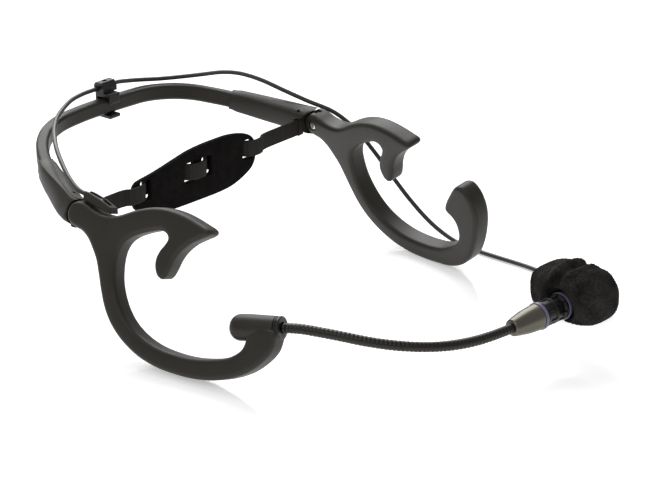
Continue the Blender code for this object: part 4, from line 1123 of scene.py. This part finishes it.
class Plug:
    """Locking mini plug at the cord's end."""

    made: list = []

    def build(self) -> None:
        """Makes the boot and dresses the shell and latch."""
        axis = unit(np.array([0.175, -0.985, 0.0]))
        start = np.array([*COIL_MIDDLE, 0.95 - 1.5 + 5.6 + 0.3 + 4.4]) - axis * 9.0
        at = aim(lift(start), axis)
        low = np.linspace(-7.0, 1.0, 33)
        size = np.interp(low, [-7.0, -4.0, 0.0, 1.0], [1.3, 1.9, 2.6, 3.0]) - 0.22 * (np.sin(low * 3.6) > 0.3)
        boot = [(0.0, -7.0), *zip(size.tolist(), low.tolist()), (0.0, 1.0)]
        body = "headband"
        Plug.made.append(dress(revolve("strain_boot", boot, at, 48), DEEP_BLACK, body, ["plug_boot"]))
        Plug.made.append(copied("plug_shell", body, DARK_METAL, 0.15))
        copied("plug_latch", "latch", DARK_METAL, 0.1)


class Carried(Enum):
    """CAD nodes shown as they are, with their finish."""

    PLATED_STEEL = ("band_spring", "boom_anchor", "strap_pin_left", "strap_pin_right", "mic_capsule")
    BRASS_PARTS = ("pivot_insert_left", "pivot_insert_right", "plug_contact_1", "plug_contact_2",
                   "plug_contact_3")
    BLACK_PARTS = ("socket_bush", "plug_insert")


def dress_frame() -> None:
    """Puts the procedural finishes on the carried-over CAD nodes."""
    finishes = {Carried.PLATED_STEEL: PLATED, Carried.BRASS_PARTS: BRASS, Carried.BLACK_PARTS: DEEP_BLACK}
    for group, finish in finishes.items():
        for name in group.value:
            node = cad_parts[name]
            for place in node.material_slots:
                place.link = "OBJECT"
                place.material = material(finish)
            LOG.info("%s keeps its CAD shape", name)


@dataclass
class Studio:
    """Camera, floor and soft lights."""

    lens: float = 132.92
    spot: tuple = (-0.70956, -0.60872, 0.39997)

    def build(self) -> None:
        """Makes the camera first, then the light."""
        scene = bpy.context.scene
        lens = bpy.data.cameras.new("camera")
        lens.lens, lens.sensor_width, lens.sensor_fit = self.lens, 36.0, "HORIZONTAL"
        camera = bpy.data.objects.new("camera", lens)
        turn = Matrix(((0.64270, 0.28771, -0.71003), (-0.76604, 0.22872, -0.60072),
                       (-0.01043, 0.93001, 0.36740)))
        camera.matrix_world = Matrix.Translation(self.spot) @ turn.to_4x4()
        scene.collection.objects.link(camera)
        scene.camera = camera
        scene.view_settings.view_transform = "Standard"
        self.floor()
        self.light("key", (0.55, 0.75, 0.95), 1.1, 17.0)
        self.light("front", (-0.9, -0.2, 1.1), 0.9, 3.5)
        world = bpy.data.worlds.new("studio")
        world.use_nodes = True
        world.node_tree.nodes["Background"].inputs["Color"].default_value = (1.0, 1.0, 1.0, 1.0)
        world.node_tree.nodes["Background"].inputs["Strength"].default_value = 0.42
        scene.world = world

    def floor(self) -> None:
        """Pale floor, not part of the object."""
        verts = np.array([(-4.0, -4.0, 0.0), (4.0, -4.0, 0.0), (4.0, 4.0, 0.0), (-4.0, 4.0, 0.0)])
        floor = make_object("floor", verts, [[0, 1, 2, 3]])
        paint = bpy.data.materials.new("floor_white")
        paint.use_nodes = True
        shader = paint.node_tree.nodes["Principled BSDF"]
        shader.inputs["Base Color"].default_value = (0.93, 0.93, 0.93, 1.0)
        shader.inputs["Roughness"].default_value = 0.16
        shader.inputs["Emission Color"].default_value = (1.0, 1.0, 1.0, 1.0)
        shader.inputs["Emission Strength"].default_value = 0.42
        floor.data.materials.append(paint)

    def light(self, name: str, spot: tuple, size: float, power: float) -> None:
        """Soft square light that looks at the middle."""
        lamp = bpy.data.lights.new(name, "AREA")
        lamp.size, lamp.energy = size, power
        made = bpy.data.objects.new(name, lamp)
        made.location = spot
        made.rotation_euler = (Vector((0.0, 0.0, 0.03)) - Vector(spot)).to_track_quat("-Z", "Y").to_euler()
        bpy.context.scene.collection.objects.link(made)


def main() -> None:
    """Builds every sub-assembly in order."""
    logging.basicConfig(level=logging.INFO, format="%(message)s")
    Studio().build()
    dress_frame()
    Headband().build()
    EarHook("right", RIGHT, RIGHT_END).build()
    EarHook("left", LEFT, LEFT_END).build()
    Clip().build()
    Boom().build()
    Microphone().build()
    Windscreen().build()
    Plug().build()
    Cable().build()


if __name__ == "__main__":
    main()
